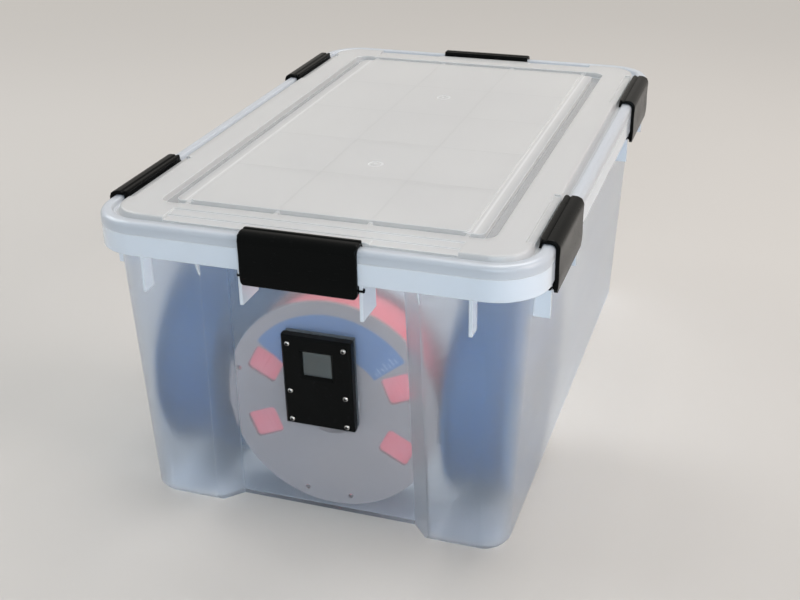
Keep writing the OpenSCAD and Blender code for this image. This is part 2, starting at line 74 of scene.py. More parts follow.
@dataclass(frozen=True)
class Value:
    """A socket's number, on which Python's operators add Math nodes."""

    nodes: "Nodes"
    socket: bpy.types.NodeSocket

    def maths(self, kind: str, *fed: "Value | float") -> "Value":
        """Adds a Math node of this kind, fed by these values in order."""
        return self.nodes.node("ShaderNodeMath", {"operation": kind}, dict(enumerate(fed)))

    def __add__(self, other: "Value | float") -> "Value":
        """Returns self + other."""
        return self.maths("ADD", self, other)

    __radd__ = __add__

    def __sub__(self, other: "Value | float") -> "Value":
        """Returns self - other."""
        return self.maths("SUBTRACT", self, other)

    def __rsub__(self, other: "Value | float") -> "Value":
        """Returns other - self."""
        return self.maths("SUBTRACT", other, self)

    def __mul__(self, other: "Value | float") -> "Value":
        """Returns self * other."""
        return self.maths("MULTIPLY", self, other)

    __rmul__ = __mul__

    def away(self, middle: float) -> "Value":
        """Returns how far the value is from middle, without its sign."""
        return self.maths("ABSOLUTE", self - middle)

    def least(self, *others: "Value | float") -> "Value":
        """Returns the least of this value and the others."""
        return reduce(lambda low, other: self.maths("MINIMUM", low, other), others, self)

    def most(self, *others: "Value | float") -> "Value":
        """Returns the greatest of this value and the others."""
        return reduce(lambda high, other: self.maths("MAXIMUM", high, other), others, self)

    def span(self, other: "Value") -> "Value":
        """Returns the length of a step of this value one way and the other across it."""
        return self.maths("SQRT", self * self + other * other)

    def over(self, low: float, high: float) -> "Value":
        """Steps smoothly from 0 below low to 1 above high.

        Args:
            low: Where the step starts.
            high: Where it ends.

        Returns:
            The step.
        """
        return self.nodes.node(
            "ShaderNodeMapRange",
            {"interpolation_type": "SMOOTHSTEP"},
            {"Value": self, "From Min": low, "From Max": high},
        )

    def under(self, low: float, high: float) -> "Value":
        """Returns 1 below low and 0 above high, with a smooth step between."""
        return 1 - self.over(low, high)


class Nodes:
    """The node tree of one material or of the world."""

    def __init__(self, owner: bpy.types.Material | bpy.types.World) -> None:
        """Empties the owner's node tree.

        Args:
            owner: What the nodes belong to.
        """
        owner.use_nodes = True
        self.tree = owner.node_tree
        self.tree.nodes.clear()

    def node(
        self,
        kind: str,
        settings: dict[str, object] | None = None,
        sockets: dict[str | int, object] | None = None,
        output: int | str = 0,
    ) -> Value:
        """Adds one node, sets it up and feeds it.

        Args:
            kind: The node's type.
            settings: Its settings, such as a Math node's operation, which are set first.
            sockets: A value, number, colour or vector for each input.
            output: Which output is wanted.

        Returns:
            That output.
        """
        made = self.tree.nodes.new(kind)
        for key, value in (settings or {}).items():
            setattr(made, key, value)
        for key, value in (sockets or {}).items():
            if isinstance(value, Value):
                self.tree.links.new(value.socket, made.inputs[key])
            elif isinstance(value, tuple) and made.inputs[key].type == "RGBA":
                made.inputs[key].default_value = (*value[:3], 1)
            else:
                made.inputs[key].default_value = value
        return Value(self, made.outputs[output])

    def spot(self, stretch: Place = (1, 1, 1)) -> Value:
        """Gives the place on the piece in metres, stretched by three factors.

        Args:
            stretch: The factors for X, Y and Z.

        Returns:
            The place.
        """
        place = self.node("ShaderNodeTexCoord", output="Object")
        if stretch == (1, 1, 1):
            return place
        return self.node("ShaderNodeVectorMath", {"operation": "MULTIPLY"}, {0: place, 1: stretch})

    def noise(
        self, scale: float, detail: float = 2, stretch: Place = (1, 1, 1), bend: float = 0
    ) -> Value:
        """Adds noise from 0 to 1.

        Args:
            scale: Features per metre.
            detail: Octaves of finer noise.
            stretch: How much finer it is along each axis.
            bend: How strongly it is distorted.

        Returns:
            The noise.
        """
        return self.node(
            "ShaderNodeTexNoise",
            None,
            {"Vector": self.spot(stretch), "Scale": scale, "Detail": detail, "Distortion": bend},
        )

    def cells(self, scale: float) -> Value:
        """Returns the distance to the nearest of scattered points, scale of them per metre."""
        return self.node("ShaderNodeTexVoronoi", None, {"Vector": self.spot(), "Scale": scale})

    def axis(self, name: str) -> Value:
        """Returns one coordinate of the place on the piece: X, Y or Z."""
        return self.node("ShaderNodeSeparateXYZ", None, {0: self.spot()}, name)

    def blend(self, share: Value, first: object, second: object) -> Value:
        """Mixes two colours, or values that hold them, with this share of the second."""
        return self.node("ShaderNodeMix", {"data_type": "RGBA"}, {0: share, 6: first, 7: second}, 2)

    def inset(self, half_x: float, half_y: float, corner: float) -> Value:
        """Measures how far in a place is from the side of an upright rounded block.

        Args:
            half_x: Half the block's width.
            half_y: Half its length.
            corner: The radius of its corners.

        Returns:
            The distance in metres.
        """
        x = self.axis("X").away(0) - (half_x - corner)
        y = self.axis("Y").away(0) - (half_y - corner)
        corner_way = x.most(0.0).span(y.most(0.0))
        return corner - (corner_way + x.most(y).least(0.0))

    def bump(self, height: Value, depth: float, rounding: float = 0.0) -> Value:
        """Turns a height of 0 to 1 into a normal.

        Args:
            height: The height.
            depth: What a height of 1 stands for in metres.
            rounding: The radius in metres at which sharp edges catch the light.

        Returns:
            The normal.
        """
        fed: dict[str | int, object] = {"Height": height, "Distance": depth, "Strength": 1.0}
        if rounding:
            fed["Normal"] = self.rounded(rounding)
        return self.node("ShaderNodeBump", None, fed)

    def rounded(self, rounding: float) -> Value:
        """Returns the normal with sharp edges rounded to this radius in metres."""
        return self.node("ShaderNodeBevel", {"samples": 6}, {"Radius": rounding})

    def edges(self, rounding: float) -> Value:
        """Marks with 1 the edges that a radius rounds, and leaves the rest at 0.

        Args:
            rounding: The radius in metres.

        Returns:
            The mask.
        """
        flat = self.node("ShaderNodeNewGeometry", output="Normal")
        pair = {0: self.rounded(rounding), 1: flat}
        near = self.node("ShaderNodeVectorMath", {"operation": "DOT_PRODUCT"}, pair, "Value")
        return (1 - near).over(0.01, 0.12)

    def surface(self, colour: object, rough: object, **sockets: object) -> Value:
        """Adds the main shader.

        Args:
            colour: Base colour.
            rough: Roughness.
            **sockets: Other sockets by name, with _ for a space.

        Returns:
            The shader.
        """
        fed = {key.replace("_", " "): value for key, value in sockets.items()}
        return self.node(
            "ShaderNodeBsdfPrincipled", None, {"Base Color": colour, "Roughness": rough, **fed}
        )

    def ray(self, kind: str) -> Value:
        """Returns 1 for rays of a kind, such as Is Shadow Ray, and 0 for others."""
        return self.node("ShaderNodeLightPath", output=kind)

    def either(self, share: Value, first: Value, second: Value) -> Value:
        """Mixes two shaders, with this share of the second."""
        return self.node("ShaderNodeMixShader", None, {0: share, 1: first, 2: second})

    def lamplit(self, body: Value, lamp: Colour) -> Value:
        """Lets lamps shine through a surface, tinted by a colour.

        Args:
            body: How the surface looks.
            lamp: What is left of the light behind it.

        Returns:
            The shader.
        """
        clear = self.node("ShaderNodeBsdfTransparent", None, {"Color": lamp})
        return self.either(self.ray("Is Shadow Ray"), body, clear)

    def show(self, shader: Value, output: str = "ShaderNodeOutputMaterial") -> None:
        """Feeds the shader to the output."""
        end = self.tree.nodes.new(output)
        self.tree.links.new(shader.socket, end.inputs["Surface"])


# ---------------------------------------------------------------- finishes

BLACK: Colour = (0.0, 0.0, 0.0)
BACKDROP: Colour = (0.6, 0.57, 0.53)


class Finish:
    """A finish, whose material is built once."""

    name: str

    def build(self, nodes: Nodes) -> Value:
        """Adds the finish's nodes and returns its shader."""
        raise NotImplementedError(self.name)

    def material(self) -> bpy.types.Material:
        """Makes the finish's material.

        Returns:
            The material, made at the first call.
        """
        made = bpy.data.materials.get(self.name)
        if made is None:
            made = bpy.data.materials.new(self.name)
            nodes = Nodes(made)
            nodes.show(self.build(nodes))
        return made


@dataclass(frozen=True)
class MilkyPlastic(Finish):
    """Frosted polypropylene, which blurs what stands away from it."""

    name: str
    tint: Colour
    cloud: Colour
    clearness: float
    rough: float
    lamp: Colour
    gloss: float = 0.0
    grain: float = 900
    rounding: float = 1.2 * MM
    # the next two fields give the share and the colour of the painted highlight along rounded edges
    edge: float = 0.0
    bright: Colour = (0.98, 0.99, 1.0)

    def paint(self, nodes: Nodes) -> tuple[Value, Value]:
        """Returns the colour and the height, to which a kind of this plastic adds."""
        clouds = nodes.noise(6, 2)
        return nodes.blend(clouds.over(0.3, 0.7), self.tint, self.cloud), clouds * 0.2

    def build(self, nodes: Nodes) -> Value:
        """Adds a cloudy tint, a painted highlight along the rounded edges where edge is set, a fine
        moulded grain, flow lines and dull scuffed patches.

        Args:
            nodes: The material's nodes.

        Returns:
            The shader.
        """
        colour, height = self.paint(nodes)
        # Painted highlight: the colour is lightened along the rounded edges, standing in for light
        # catching them.
        if self.edge:
            colour = nodes.blend(nodes.edges(self.rounding) * self.edge, colour, self.bright)
        scuff = nodes.noise(9, 5, (1, 1, 2.5)).over(0.5, 0.8)
        flow = nodes.noise(4, 1, (1, 1, 7))
        body = nodes.surface(
            colour,
            self.rough + (flow - 0.5) * 0.05 + scuff * 0.03,
            Transmission_Weight=self.clearness,
            IOR=1.4,
            Coat_Weight=self.gloss,
            Coat_Roughness=0.1,
            Normal=nodes.bump(
                height + nodes.noise(self.grain, 2) * 0.05 + flow * 0.2, 0.2 * MM, self.rounding
            ),
        )
        return nodes.lamplit(body, self.lamp)


@dataclass(frozen=True)
class LidPlastic(MilkyPlastic):
    """The lid's plastic: bluish at its rim, with sink marks over the ribs, painted highlight rings
    round two gate marks, and painted shade on the slope beside the panel with a painted highlight
    line along its top.
    """

    rim: Colour = (0.63, 0.655, 0.69)
    outline: Place = (0.197, 0.299, 0.045)  # half its width and length, and its corners' radius
    rim_width: float = 0.012
    panel: Point = (0.125, 0.24)
    rib_x: float = 0.0417
    rib_y: Point = (0.048, 0.144)
    sunk: Colour = (0.56, 0.56, 0.55)
    gate_y: float = 0.11
    # inner and outer radius of the painted highlight ring round each gate mark
    gate_glint_ring: Point = (0.0061, 0.0076)
    # the slope's top and foot across the lid, where painted shade lies
    slope: Point = (0.1305, 0.1375)
    # colour of the painted shade on the slope beside the panel
    shade: Colour = (0.5, 0.51, 0.52)
    # colour of the painted highlights: the gate rings and the line along the slope's top
    glint: Colour = (0.95, 0.95, 0.95)

    def sinks(self, x: Value, y: Value) -> Value:
        """Marks with 1 the sink marks over the ribs below the panel.

        Args:
            x: Distance from the middle across the lid.
            y: Distance from the middle along it.

        Returns:
            The mask.
        """
        near = x.away(self.rib_x).least(*(y.away(rib) for rib in self.rib_y))
        on_panel = x.under(self.panel[0] - MM, self.panel[0]) * y.under(
            self.panel[1] - MM, self.panel[1]
        )
        return near.under(0.4 * MM, 1.8 * MM) * on_panel

    def paint(self, nodes: Nodes) -> tuple[Value, Value]:
        """Adds the rim's tint, the sink marks, painted highlight rings at the gates, and painted
        shade on the slope beside the panel with a painted highlight line along its top.

        Args:
            nodes: The material's nodes.

        Returns:
            The colour and the height.
        """
        colour, height = super().paint(nodes)
        x, y = nodes.axis("X").away(0), nodes.axis("Y").away(0)
        sink = self.sinks(x, y)
        colour = nodes.blend(sink * 0.3, colour, self.sunk)
        # Painted highlight: a light ring round each gate mark.
        out = x.span(y.away(self.gate_y))
        inner, outer = self.gate_glint_ring
        ring = out.over(inner, inner + 0.4 * MM) * out.under(outer - 0.4 * MM, outer)
        colour = nodes.blend(ring * 0.7, colour, self.glint)
        # Painted shade on the slope beside the panel, and a painted highlight line along its top.
        top, foot = self.slope
        beside = y.under(self.panel[1] - MM, self.panel[1])
        slope = x.over(top, foot) * x.under(foot, foot + 0.5 * MM) * beside
        line = x.over(top - 3 * MM, top - 2 * MM) * x.under(top - MM, top) * beside
        colour = nodes.blend(slope * 0.6, colour, self.shade)
        colour = nodes.blend(line * 0.45, colour, self.glint)
        inside = nodes.inset(*self.outline).over(self.rim_width, self.rim_width + 4 * MM)
        return nodes.blend(inside, self.rim, colour), height - sink * 0.35


@dataclass(frozen=True)
class MouldedPlastic(Finish):
    """Opaque moulded plastic with a fine grain and handling marks."""

    name: str
    colour: Colour
    worn: Colour
    rough: float
    shine: float = 0.5
    grain: float = 1500
    depth: float = 0.04 * MM
    scratches: Place = (3, 3, 9)

    def build(self, nodes: Nodes) -> Value:
        """Adds mottling, scratches that lighten the surface and a moulded grain.

        Args:
            nodes: The material's nodes.

        Returns:
            The shader.
        """
        mottle = nodes.noise(28, 4)
        scratch = nodes.noise(42, 5, self.scratches, 0.3).over(0.62, 0.74)
        grain = nodes.noise(self.grain, 2)
        colour = nodes.blend(mottle * 0.5 + scratch * 0.35, self.colour, self.worn)
        rough = self.rough + (mottle - 0.5) * 0.14 + scratch * 0.12
        normal = nodes.bump(grain * 0.7 + mottle * 0.3 - scratch * 0.25, self.depth)
        return nodes.surface(colour, rough, Normal=normal, Specular_IOR_Level=self.shine)


@dataclass(frozen=True)
class PrintedPlastic(Finish):
    """Black printed plastic, with the fine lines of its layers."""

    name: str
    colour: Colour
    rough: float
    line: float = 0.45 * MM  # the width of a printed line
    dusty: Colour = (0.06, 0.062, 0.066)

    def build(self, nodes: Nodes) -> Value:
        """Adds slanting print lines, dust and a slight sheen change.

        Args:
            nodes: The material's nodes.

        Returns:
            The shader.
        """
        lines = nodes.node(
            "ShaderNodeTexWave",
            {"wave_type": "BANDS", "bands_direction": "DIAGONAL"},
            {"Vector": nodes.spot(), "Scale": 0.05 / self.line, "Distortion": 0.6, "Detail": 1.0},
            1,
        )
        dust = nodes.noise(240, 3).over(0.6, 0.78)
        cloud = nodes.noise(30, 3)
        colour = nodes.blend(dust * 0.06 + cloud * 0.03, self.colour, self.dusty)
        rough = self.rough + (cloud - 0.5) * 0.12 + dust * 0.08
        normal = nodes.bump(lines * 0.8 + dust * 0.2, 0.02 * MM, 0.7 * MM)
        return nodes.surface(colour, rough, Normal=normal, Specular_IOR_Level=0.08)


@dataclass(frozen=True)
class Steel(Finish):
    """Bright plated steel with turning marks."""

    name: str
    colour: Colour
    rough: float
    dulled: Colour = (0.42, 0.41, 0.39)

    def build(self, nodes: Nodes) -> Value:
        """Adds tarnish and a brushed grain.

        Args:
            nodes: The material's nodes.

        Returns:
            The shader.
        """
        tarnish = nodes.noise(160, 4).over(0.4, 0.75)
        grain = nodes.noise(900, 3, (1, 6, 1))
        colour = nodes.blend(tarnish * 0.35, self.colour, self.dulled)
        rough = self.rough + grain * 0.08 + tarnish * 0.1
        return nodes.surface(colour, rough, Metallic=1.0, Normal=nodes.bump(grain, 0.012 * MM))


@dataclass(frozen=True)
class SoftSeal(Finish):
    """Foam or rubber with fine pores."""

    name: str
    colour: Colour
    pore: Colour
    rough: float
    scale: float

    def build(self, nodes: Nodes) -> Value:
        """Adds open pores over a mottled body.

        Args:
            nodes: The material's nodes.

        Returns:
            The shader.
        """
        pores = nodes.cells(self.scale).over(0.1, 0.45)
        mottle = nodes.noise(60, 3)
        colour = nodes.blend(pores, self.pore, self.colour)
        colour = nodes.blend(mottle * 0.3, colour, self.pore)
        return nodes.surface(colour, self.rough - mottle * 0.1, Normal=nodes.bump(pores, 0.1 * MM))


@dataclass(frozen=True)
class ClearPane(Finish):
    """A clear window that lamps shine through."""

    name: str = "clear_window"
    clean: Colour = (0.93, 0.96, 0.96)
    smeared: Colour = (0.86, 0.9, 0.91)
    lamp: Colour = (0.9, 0.93, 0.93)

    def build(self, nodes: Nodes) -> Value:
        """Adds faint smears to a clear sheet.

        Args:
            nodes: The material's nodes.

        Returns:
            The shader.
        """
        smear = nodes.noise(70, 4, (1, 1, 2), 0.5)
        body = nodes.surface(
            nodes.blend(smear, self.clean, self.smeared),
            0.04 + smear.over(0.5, 0.8) * 0.08,
            Transmission_Weight=1.0,
            IOR=1.45,
        )
        return nodes.lamplit(body, self.lamp)


@dataclass(frozen=True)
class DisplayGlass(Finish):
    """The grey face of a passive liquid crystal display."""

    name: str
    colour: Colour
    shade: Colour
    haze: Colour = (0.5, 0.52, 0.5)

    def build(self, nodes: Nodes) -> Value:
        """Adds a soft unevenness and the fine tooth of the rear polariser.

        Args:
            nodes: The material's nodes.

        Returns:
            The shader.
        """
        cloud = nodes.noise(90, 2)
        tooth = nodes.noise(2500, 2)
        colour = nodes.blend(cloud.over(0.3, 0.7), self.colour, self.shade)
        colour = nodes.blend(tooth * 0.12, colour, self.haze)
        return nodes.surface(colour, 0.3 + tooth * 0.15, Normal=nodes.bump(tooth, 0.006 * MM))


@dataclass(frozen=True)
class CircuitBoard(Finish):
    """Green solder mask over copper tracks."""

    name: str = "green_board"
    mask: Colour = (0.02, 0.16, 0.07)
    track: Colour = (0.05, 0.3, 0.12)
    pad: Colour = (0.75, 0.72, 0.6)

    def build(self, nodes: Nodes) -> Value:
        """Adds tracks, pads and mask gloss.

        Args:
            nodes: The material's nodes.

        Returns:
            The shader.
        """
        tracks = nodes.node(
            "ShaderNodeTexBrick",
            {"offset": 0.5},
            {"Vector": nodes.spot(), "Scale": 260.0, "Mortar Size": 0.03},
            1,
        )
        pads = nodes.cells(320).under(0.12, 0.2)
        cloud = nodes.noise(90, 2)
        colour = nodes.blend(pads, nodes.blend(tracks, self.mask, self.track), self.pad)
        rough = 0.25 + cloud * 0.15
        return nodes.surface(colour, rough, Normal=nodes.bump(tracks * 0.5 + pads * 0.5, 0.03 * MM))


@dataclass(frozen=True)
class Strand(Finish):
    """Extruded filament, glossy along its turns."""

    name: str
    colour: Colour
    deep: Colour

    def build(self, nodes: Nodes) -> Value:
        """Adds a change of shade between turns and a fine drawn texture.

        Args:
            nodes: The material's nodes.

        Returns:
            The shader.
        """
        batch = nodes.noise(60, 3)
        fine = nodes.noise(1800, 2)
        return nodes.surface(
            nodes.blend(batch.over(0.3, 0.7), self.colour, self.deep),
            0.34 + fine * 0.1,
            Normal=nodes.bump(fine, 0.02 * MM),
            Subsurface_Weight=0.15,
            Subsurface_Radius=(0.5, 0.3, 0.3),
            Subsurface_Scale=2 * MM,
        )


@dataclass(frozen=True)
class PaperLabel(Finish):
    """A bare printed paper label."""

    name: str
    ink: Colour
    faded: Colour
    bare: Colour = (0.55, 0.6, 0.7)

    def build(self, nodes: Nodes) -> Value:
        """Adds uneven ink, paper fibre and faint rubbed spots.

        Args:
            nodes: The material's nodes.

        Returns:
            The shader.
        """
        fibre = nodes.noise(900, 4, (1, 3, 1))
        cloud = nodes.noise(26, 3)
        rubbed = nodes.noise(130, 4).over(0.62, 0.75)
        colour = nodes.blend(cloud.over(0.3, 0.75), self.ink, self.faded)
        colour = nodes.blend(rubbed * 0.22 + fibre * 0.08, colour, self.bare)
        return nodes.surface(colour, 0.55 + fibre * 0.15, Normal=nodes.bump(fibre, 0.03 * MM))


@dataclass(frozen=True)
class GelBeads(Finish):
    """Indicating silica gel, slightly glassy."""

    name: str = "orange_gel"
    fresh: Colour = (0.86, 0.33, 0.05)
    pale: Colour = (0.95, 0.62, 0.22)

    def build(self, nodes: Nodes) -> Value:
        """Varies the colour from bead to bead.

        Args:
            nodes: The material's nodes.

        Returns:
            The shader.
        """
        hue = nodes.noise(190, 1)
        return nodes.surface(
            nodes.blend(hue.over(0.35, 0.65), self.fresh, self.pale),
            0.18 + hue * 0.12,
            Normal=nodes.bump(nodes.noise(1500, 2), 0.03 * MM),
            Subsurface_Weight=0.3,
            Subsurface_Scale=2 * MM,
        )


@dataclass(frozen=True)
class PaleFloor(Finish):
    """A plain pale studio floor, which far away takes the tone of the backdrop."""

    name: str = "pale_floor"
    darker: Colour = (0.59, 0.555, 0.515)
    lighter: Colour = (0.62, 0.585, 0.545)
    fade: Point = (1.1, 2.8)

    def build(self, nodes: Nodes) -> Value:
        """Adds a hardly visible unevenness and the fade to the backdrop.

        Args:
            nodes: The material's nodes.

        Returns:
            The shader.
        """
        cloud = nodes.noise(1.2, 3)
        far = nodes.axis("X").span(nodes.axis("Y")).over(*self.fade)
        return nodes.surface(
            nodes.blend(far, nodes.blend(cloud, self.darker, self.lighter), BLACK),
            0.55 + cloud * 0.1,
            Normal=nodes.bump(nodes.noise(300, 2), 0.05 * MM),
            Emission_Color=nodes.blend(far, BLACK, BACKDROP),
            Emission_Strength=1.0,
            Specular_IOR_Level=0.0,
        )


TUB_WALL = MilkyPlastic(
    "milky_wall",
    tint=(0.83, 0.88, 0.95),
    cloud=(0.87, 0.91, 0.96),
    clearness=0.94,
    rough=0.31,
    lamp=(0.96, 0.97, 0.985),
    gloss=0.12,
)
TUB_PANEL = replace(TUB_WALL, name="milky_panel", clearness=0.93, rough=0.21)
TUB_RIM = MilkyPlastic(
    "milky_rim",
    tint=(0.76, 0.81, 0.87),
    cloud=(0.79, 0.83, 0.88),
    clearness=0.2,
    rough=0.21,
    lamp=(0.86, 0.88, 0.9),
    gloss=0.6,
    # painted highlight along the band's rounded edges
    edge=0.5,
)
LID_TOP = LidPlastic(
    "milky_lid",
    tint=(0.63, 0.625, 0.62),
    cloud=(0.66, 0.655, 0.645),
    clearness=0.4,
    rough=0.31,
    lamp=(0.86, 0.86, 0.86),
    gloss=0.35,
    grain=1100,
    # painted highlight along the lid's rounded edges
    edge=0.9,
)
# Painted shade: the channel round the panel takes a darker tint than the lid's top, for the shade
# that lies in it.
LID_CHANNEL_SHADE = MilkyPlastic(
    "milky_channel_shade",
    tint=(0.43, 0.44, 0.45),
    cloud=(0.4, 0.41, 0.42),
    clearness=0.7,
    rough=0.2,
    lamp=(0.88, 0.88, 0.89),
    gloss=0.3,
    grain=1100,
)
NEAR_BLACK = (0.0015, 0.002, 0.002)
LATCH_BLACK = MouldedPlastic(
    "satin_black",
    NEAR_BLACK,
    worn=(0.004, 0.0045, 0.0045),
    rough=0.24,
    shine=0.07,
    grain=1700,
    depth=0.02 * MM,
)
HOUSING_BLACK = PrintedPlastic("printed_black", NEAR_BLACK, rough=0.4)
DISPLAY_GREY = DisplayGlass("display_grey", (0.014, 0.026, 0.03), shade=(0.011, 0.02, 0.024))
SEGMENT_GREY = DisplayGlass("display_marks", (0.006, 0.009, 0.01), shade=(0.005, 0.007, 0.008))
BOARD_GREEN = CircuitBoard()
CELL_STEEL = Steel("cell_steel_finish", (0.72, 0.72, 0.7), rough=0.28)
SCREW_STEEL = Steel("screw_steel_finish", (0.75, 0.75, 0.73), rough=0.18)
# Painted shade: the inside of each hex socket is dark steel, standing in for the shade in the hole.
SOCKET_SHADE = Steel("screw_socket_painted_shade", (0.1, 0.1, 0.1), rough=0.45)
BLACK_RUBBER = SoftSeal(
    "black_rubber_finish", (0.02, 0.02, 0.02), pore=(0.045, 0.045, 0.045), rough=0.8, scale=1100
)
SEAL_FOAM = SoftSeal(
    "seal_foam_finish", (0.7, 0.71, 0.72), pore=(0.5, 0.51, 0.52), rough=0.9, scale=800
)
REEL_GREY = MouldedPlastic(
    "reel_beige_grey", (0.34, 0.27, 0.25), worn=(0.4, 0.33, 0.31), rough=0.5, grain=1200
)
REEL_BLUE = MouldedPlastic(
    "reel_deep_blue",
    (0.004, 0.075, 0.19),
    worn=(0.008, 0.09, 0.23),
    rough=0.45,
    shine=0.4,
    grain=1200,
)
RED_STRAND = Strand("red_strand", (0.95, 0.21, 0.23), deep=(0.97, 0.28, 0.3))
BLUE_STRAND = Strand("blue_strand", (0.003, 0.07, 0.19), deep=(0.006, 0.085, 0.24))
LABEL_BLUE = PaperLabel("blue_label", (0.08, 0.16, 0.33), faded=(0.09, 0.18, 0.37))
LABEL_MARKS = PaperLabel("label_marks", (0.75, 0.8, 0.88), faded=(0.7, 0.76, 0.85))
CAN_WHITE = MouldedPlastic("white_canister", (0.8, 0.8, 0.78), worn=(0.72, 0.72, 0.7), rough=0.42)
GEL = GelBeads()
WINDOW = ClearPane()
FLOOR = PaleFloor()


# ---------------------------------------------------------------- pieces


def dress(node: str, finish: Finish) -> None:
    """Gives a carried-over CAD node its finish.

    Args:
        node: The node's name.
        finish: What it is finished in.
    """
    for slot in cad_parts[node].material_slots:
        slot.material = finish.material()
    log.info("node %s dressed in %s", node, finish.name)


def add_piece(
    name: str,
    mesh: bpy.types.Mesh,
    finishes: Sequence[Finish],
    body: str,
    replaces: Sequence[str] = (),
    sharp: float | None = 35,
) -> bpy.types.Object:
    """Adds a piece to the scene, hangs it on its body and hides the CAD nodes that it replaces.

    Args:
        name: The piece's name.
        mesh: Its mesh, in the frame's axes.
        finishes: Its finishes in the order of the faces' material numbers.
        body: The body that it rides on.
        replaces: The CAD nodes that it stands for.
        sharp: Edges bent by more than this many degrees stay sharp; None keeps the mesh's shading.

    Returns:
        The piece.
    """
    piece = bpy.data.objects.new(name, mesh)
    bpy.context.scene.collection.objects.link(piece)
    kinds = [face.material_index for face in mesh.polygons]
    mesh.materials.clear()
    for finish in finishes:
        mesh.materials.append(finish.material())
    mesh.polygons.foreach_set("material_index", kinds)
    if sharp is not None:
        mesh.shade_smooth()
        mesh.set_sharp_from_angle(angle=math.radians(sharp))
    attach(piece, body)
    if replaces:
        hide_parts(*replaces)
    log.info("piece %s on %s, %d faces", name, body, len(mesh.polygons))
    return piece


@contextmanager
def worked(mesh: bpy.types.Mesh) -> Iterator[bmesh.types.BMesh]:
    """Opens a mesh for editing and puts the result back.

    Args:
        mesh: The mesh.

    Yields:
        Its editable form.
    """
    work = bmesh.new()
    work.from_mesh(mesh)
    yield work
    work.to_mesh(mesh)
    work.free()


def evened(piece: bpy.types.Object, sharp: float = 32) -> None:
    """Shades a welded piece so that its big faces stay flat and its rounded corners turn smoothly.

    Args:
        piece: The piece.
        sharp: Edges bent by more than this many degrees stay sharp.
    """
    mesh = piece.data
    with worked(mesh) as work:
        bmesh.ops.remove_doubles(work, verts=work.verts, dist=WELD)
    if "custom_normal" in mesh.attributes:
        mesh.attributes.remove(mesh.attributes["custom_normal"])
    mesh.shade_smooth()
    mesh.set_sharp_from_angle(angle=math.radians(sharp))
    weigh = piece.modifiers.new("even shading", "WEIGHTED_NORMAL")
    weigh.mode, weigh.weight, weigh.keep_sharp, weigh.thresh = "FACE_AREA", 100, True, 0.01


def copied(
    node: str, kind: Callable[[Vector, Vector], int] = lambda spot, out: 0
) -> bpy.types.Mesh:
    """Copies a CAD node's mesh with its shading.

    Args:
        node: The node's name.
        kind: Gives a face's material number from its middle and its normal.

    Returns:
        The mesh, which the CAD node doesn't share.
    """
    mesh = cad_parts[node].data.copy()
    for face in mesh.polygons:
        face.material_index = kind(face.center, face.normal)
    return mesh


BOX_FACES = [(0, 1, 3, 2), (4, 6, 7, 5), (0, 4, 5, 1), (2, 3, 7, 6), (0, 2, 6, 4), (1, 5, 7, 3)]


@dataclass
class Shell:
    """Points and faces of a mesh as it is put together."""

    points: list[Vector] = field(default_factory=list)
    faces: list[tuple[int, ...]] = field(default_factory=list)
    kinds: list[int] = field(default_factory=list)

    def add(self, points: Sequence[Vector], faces: Sequence[Sequence[int]], kind: int = 0) -> None:
        """Adds points and the faces between them.

        Args:
            points: The new points.
            faces: Faces as indexes into the new points.
            kind: The faces' material number.
        """
        base = len(self.points)
        self.points += [Vector(p) for p in points]
        self.faces += [tuple(base + i for i in face) for face in faces]
        self.kinds += [kind] * len(faces)

    def box(
        self, low: Sequence[float], high: Sequence[float], place: Matrix, kind: int = 0
    ) -> None:
        """Adds a box.

        Args:
            low: Its lowest corner in the axes of place.
            high: Its highest corner.
            place: Where those axes stand.
            kind: The faces' material number.
        """
        self.add([place @ Vector(corner) for corner in product(*zip(low, high))], BOX_FACES, kind)

    def lathe(
        self,
        profile: Sequence[Point],
        place: Matrix,
        steps: int,
        closed: bool = False,
        shift: Callable[[int, float], Point] | None = None,
        kind: int = 0,
    ) -> None:
        """Turns a profile of (radius, height) about the z axis of place.

        Args:
            profile: The outline, from axis to axis unless it is closed.
            place: Where the axis stands.
            steps: Faces round the axis.
            closed: True if the profile's end joins its start.
            shift: Moves a profile point by its number and the angle.
            kind: The faces' material number.
        """
        points: list[Vector] = []
        for turn in range(steps):
            angle = math.tau * turn / steps
            for i, (radius, height) in enumerate(profile):
                dr, dz = shift(i, angle) if shift else (0.0, 0.0)
                across = max(radius + dr, NEEDLE)
                points.append(place @ polar(across, angle, height + dz))
        self.add(points, rings(steps, len(profile), closed, True), kind)

    def mesh(self, name: str, weld: float = WELD) -> bpy.types.Mesh:
        """Makes the mesh, joined where points meet and with its normals turned outwards.

        Args:
            name: The mesh's name.
            weld: Points closer than this are joined.

        Returns:
            The mesh.
        """
        mesh = bpy.data.meshes.new(name)
        mesh.from_pydata(self.points, [], self.faces)
        with worked(mesh) as work:
            bmesh.ops.recalc_face_normals(work, faces=work.faces)
        mesh.polygons.foreach_set("material_index", self.kinds)
        with worked(mesh) as work:
            bmesh.ops.remove_doubles(work, verts=work.verts, dist=weld)
        return mesh


def rings(count: int, size: int, closed: bool, round_again: bool) -> list[tuple[int, ...]]:
    """Joins rows of points that follow each other.

    Args:
        count: How many rows there are.
        size: Points in each row.
        closed: True if the end of a row joins its start.
        round_again: True if the last row joins the first.

    Returns:
        The faces as indexes of points.
    """
    return [
        (
            row * size + i,
            row * size + (i + 1) % size,
            (row + 1) % count * size + (i + 1) % size,
            (row + 1) % count * size + i,
        )
        for row in range(count if round_again else count - 1)
        for i in range(size if closed else size - 1)
    ]


def polar(radius: float, angle: float, height: float) -> Vector:
    """Returns a point by its distance from the z axis, its angle in radians and its height."""
    return Vector((radius * math.cos(angle), radius * math.sin(angle), height))


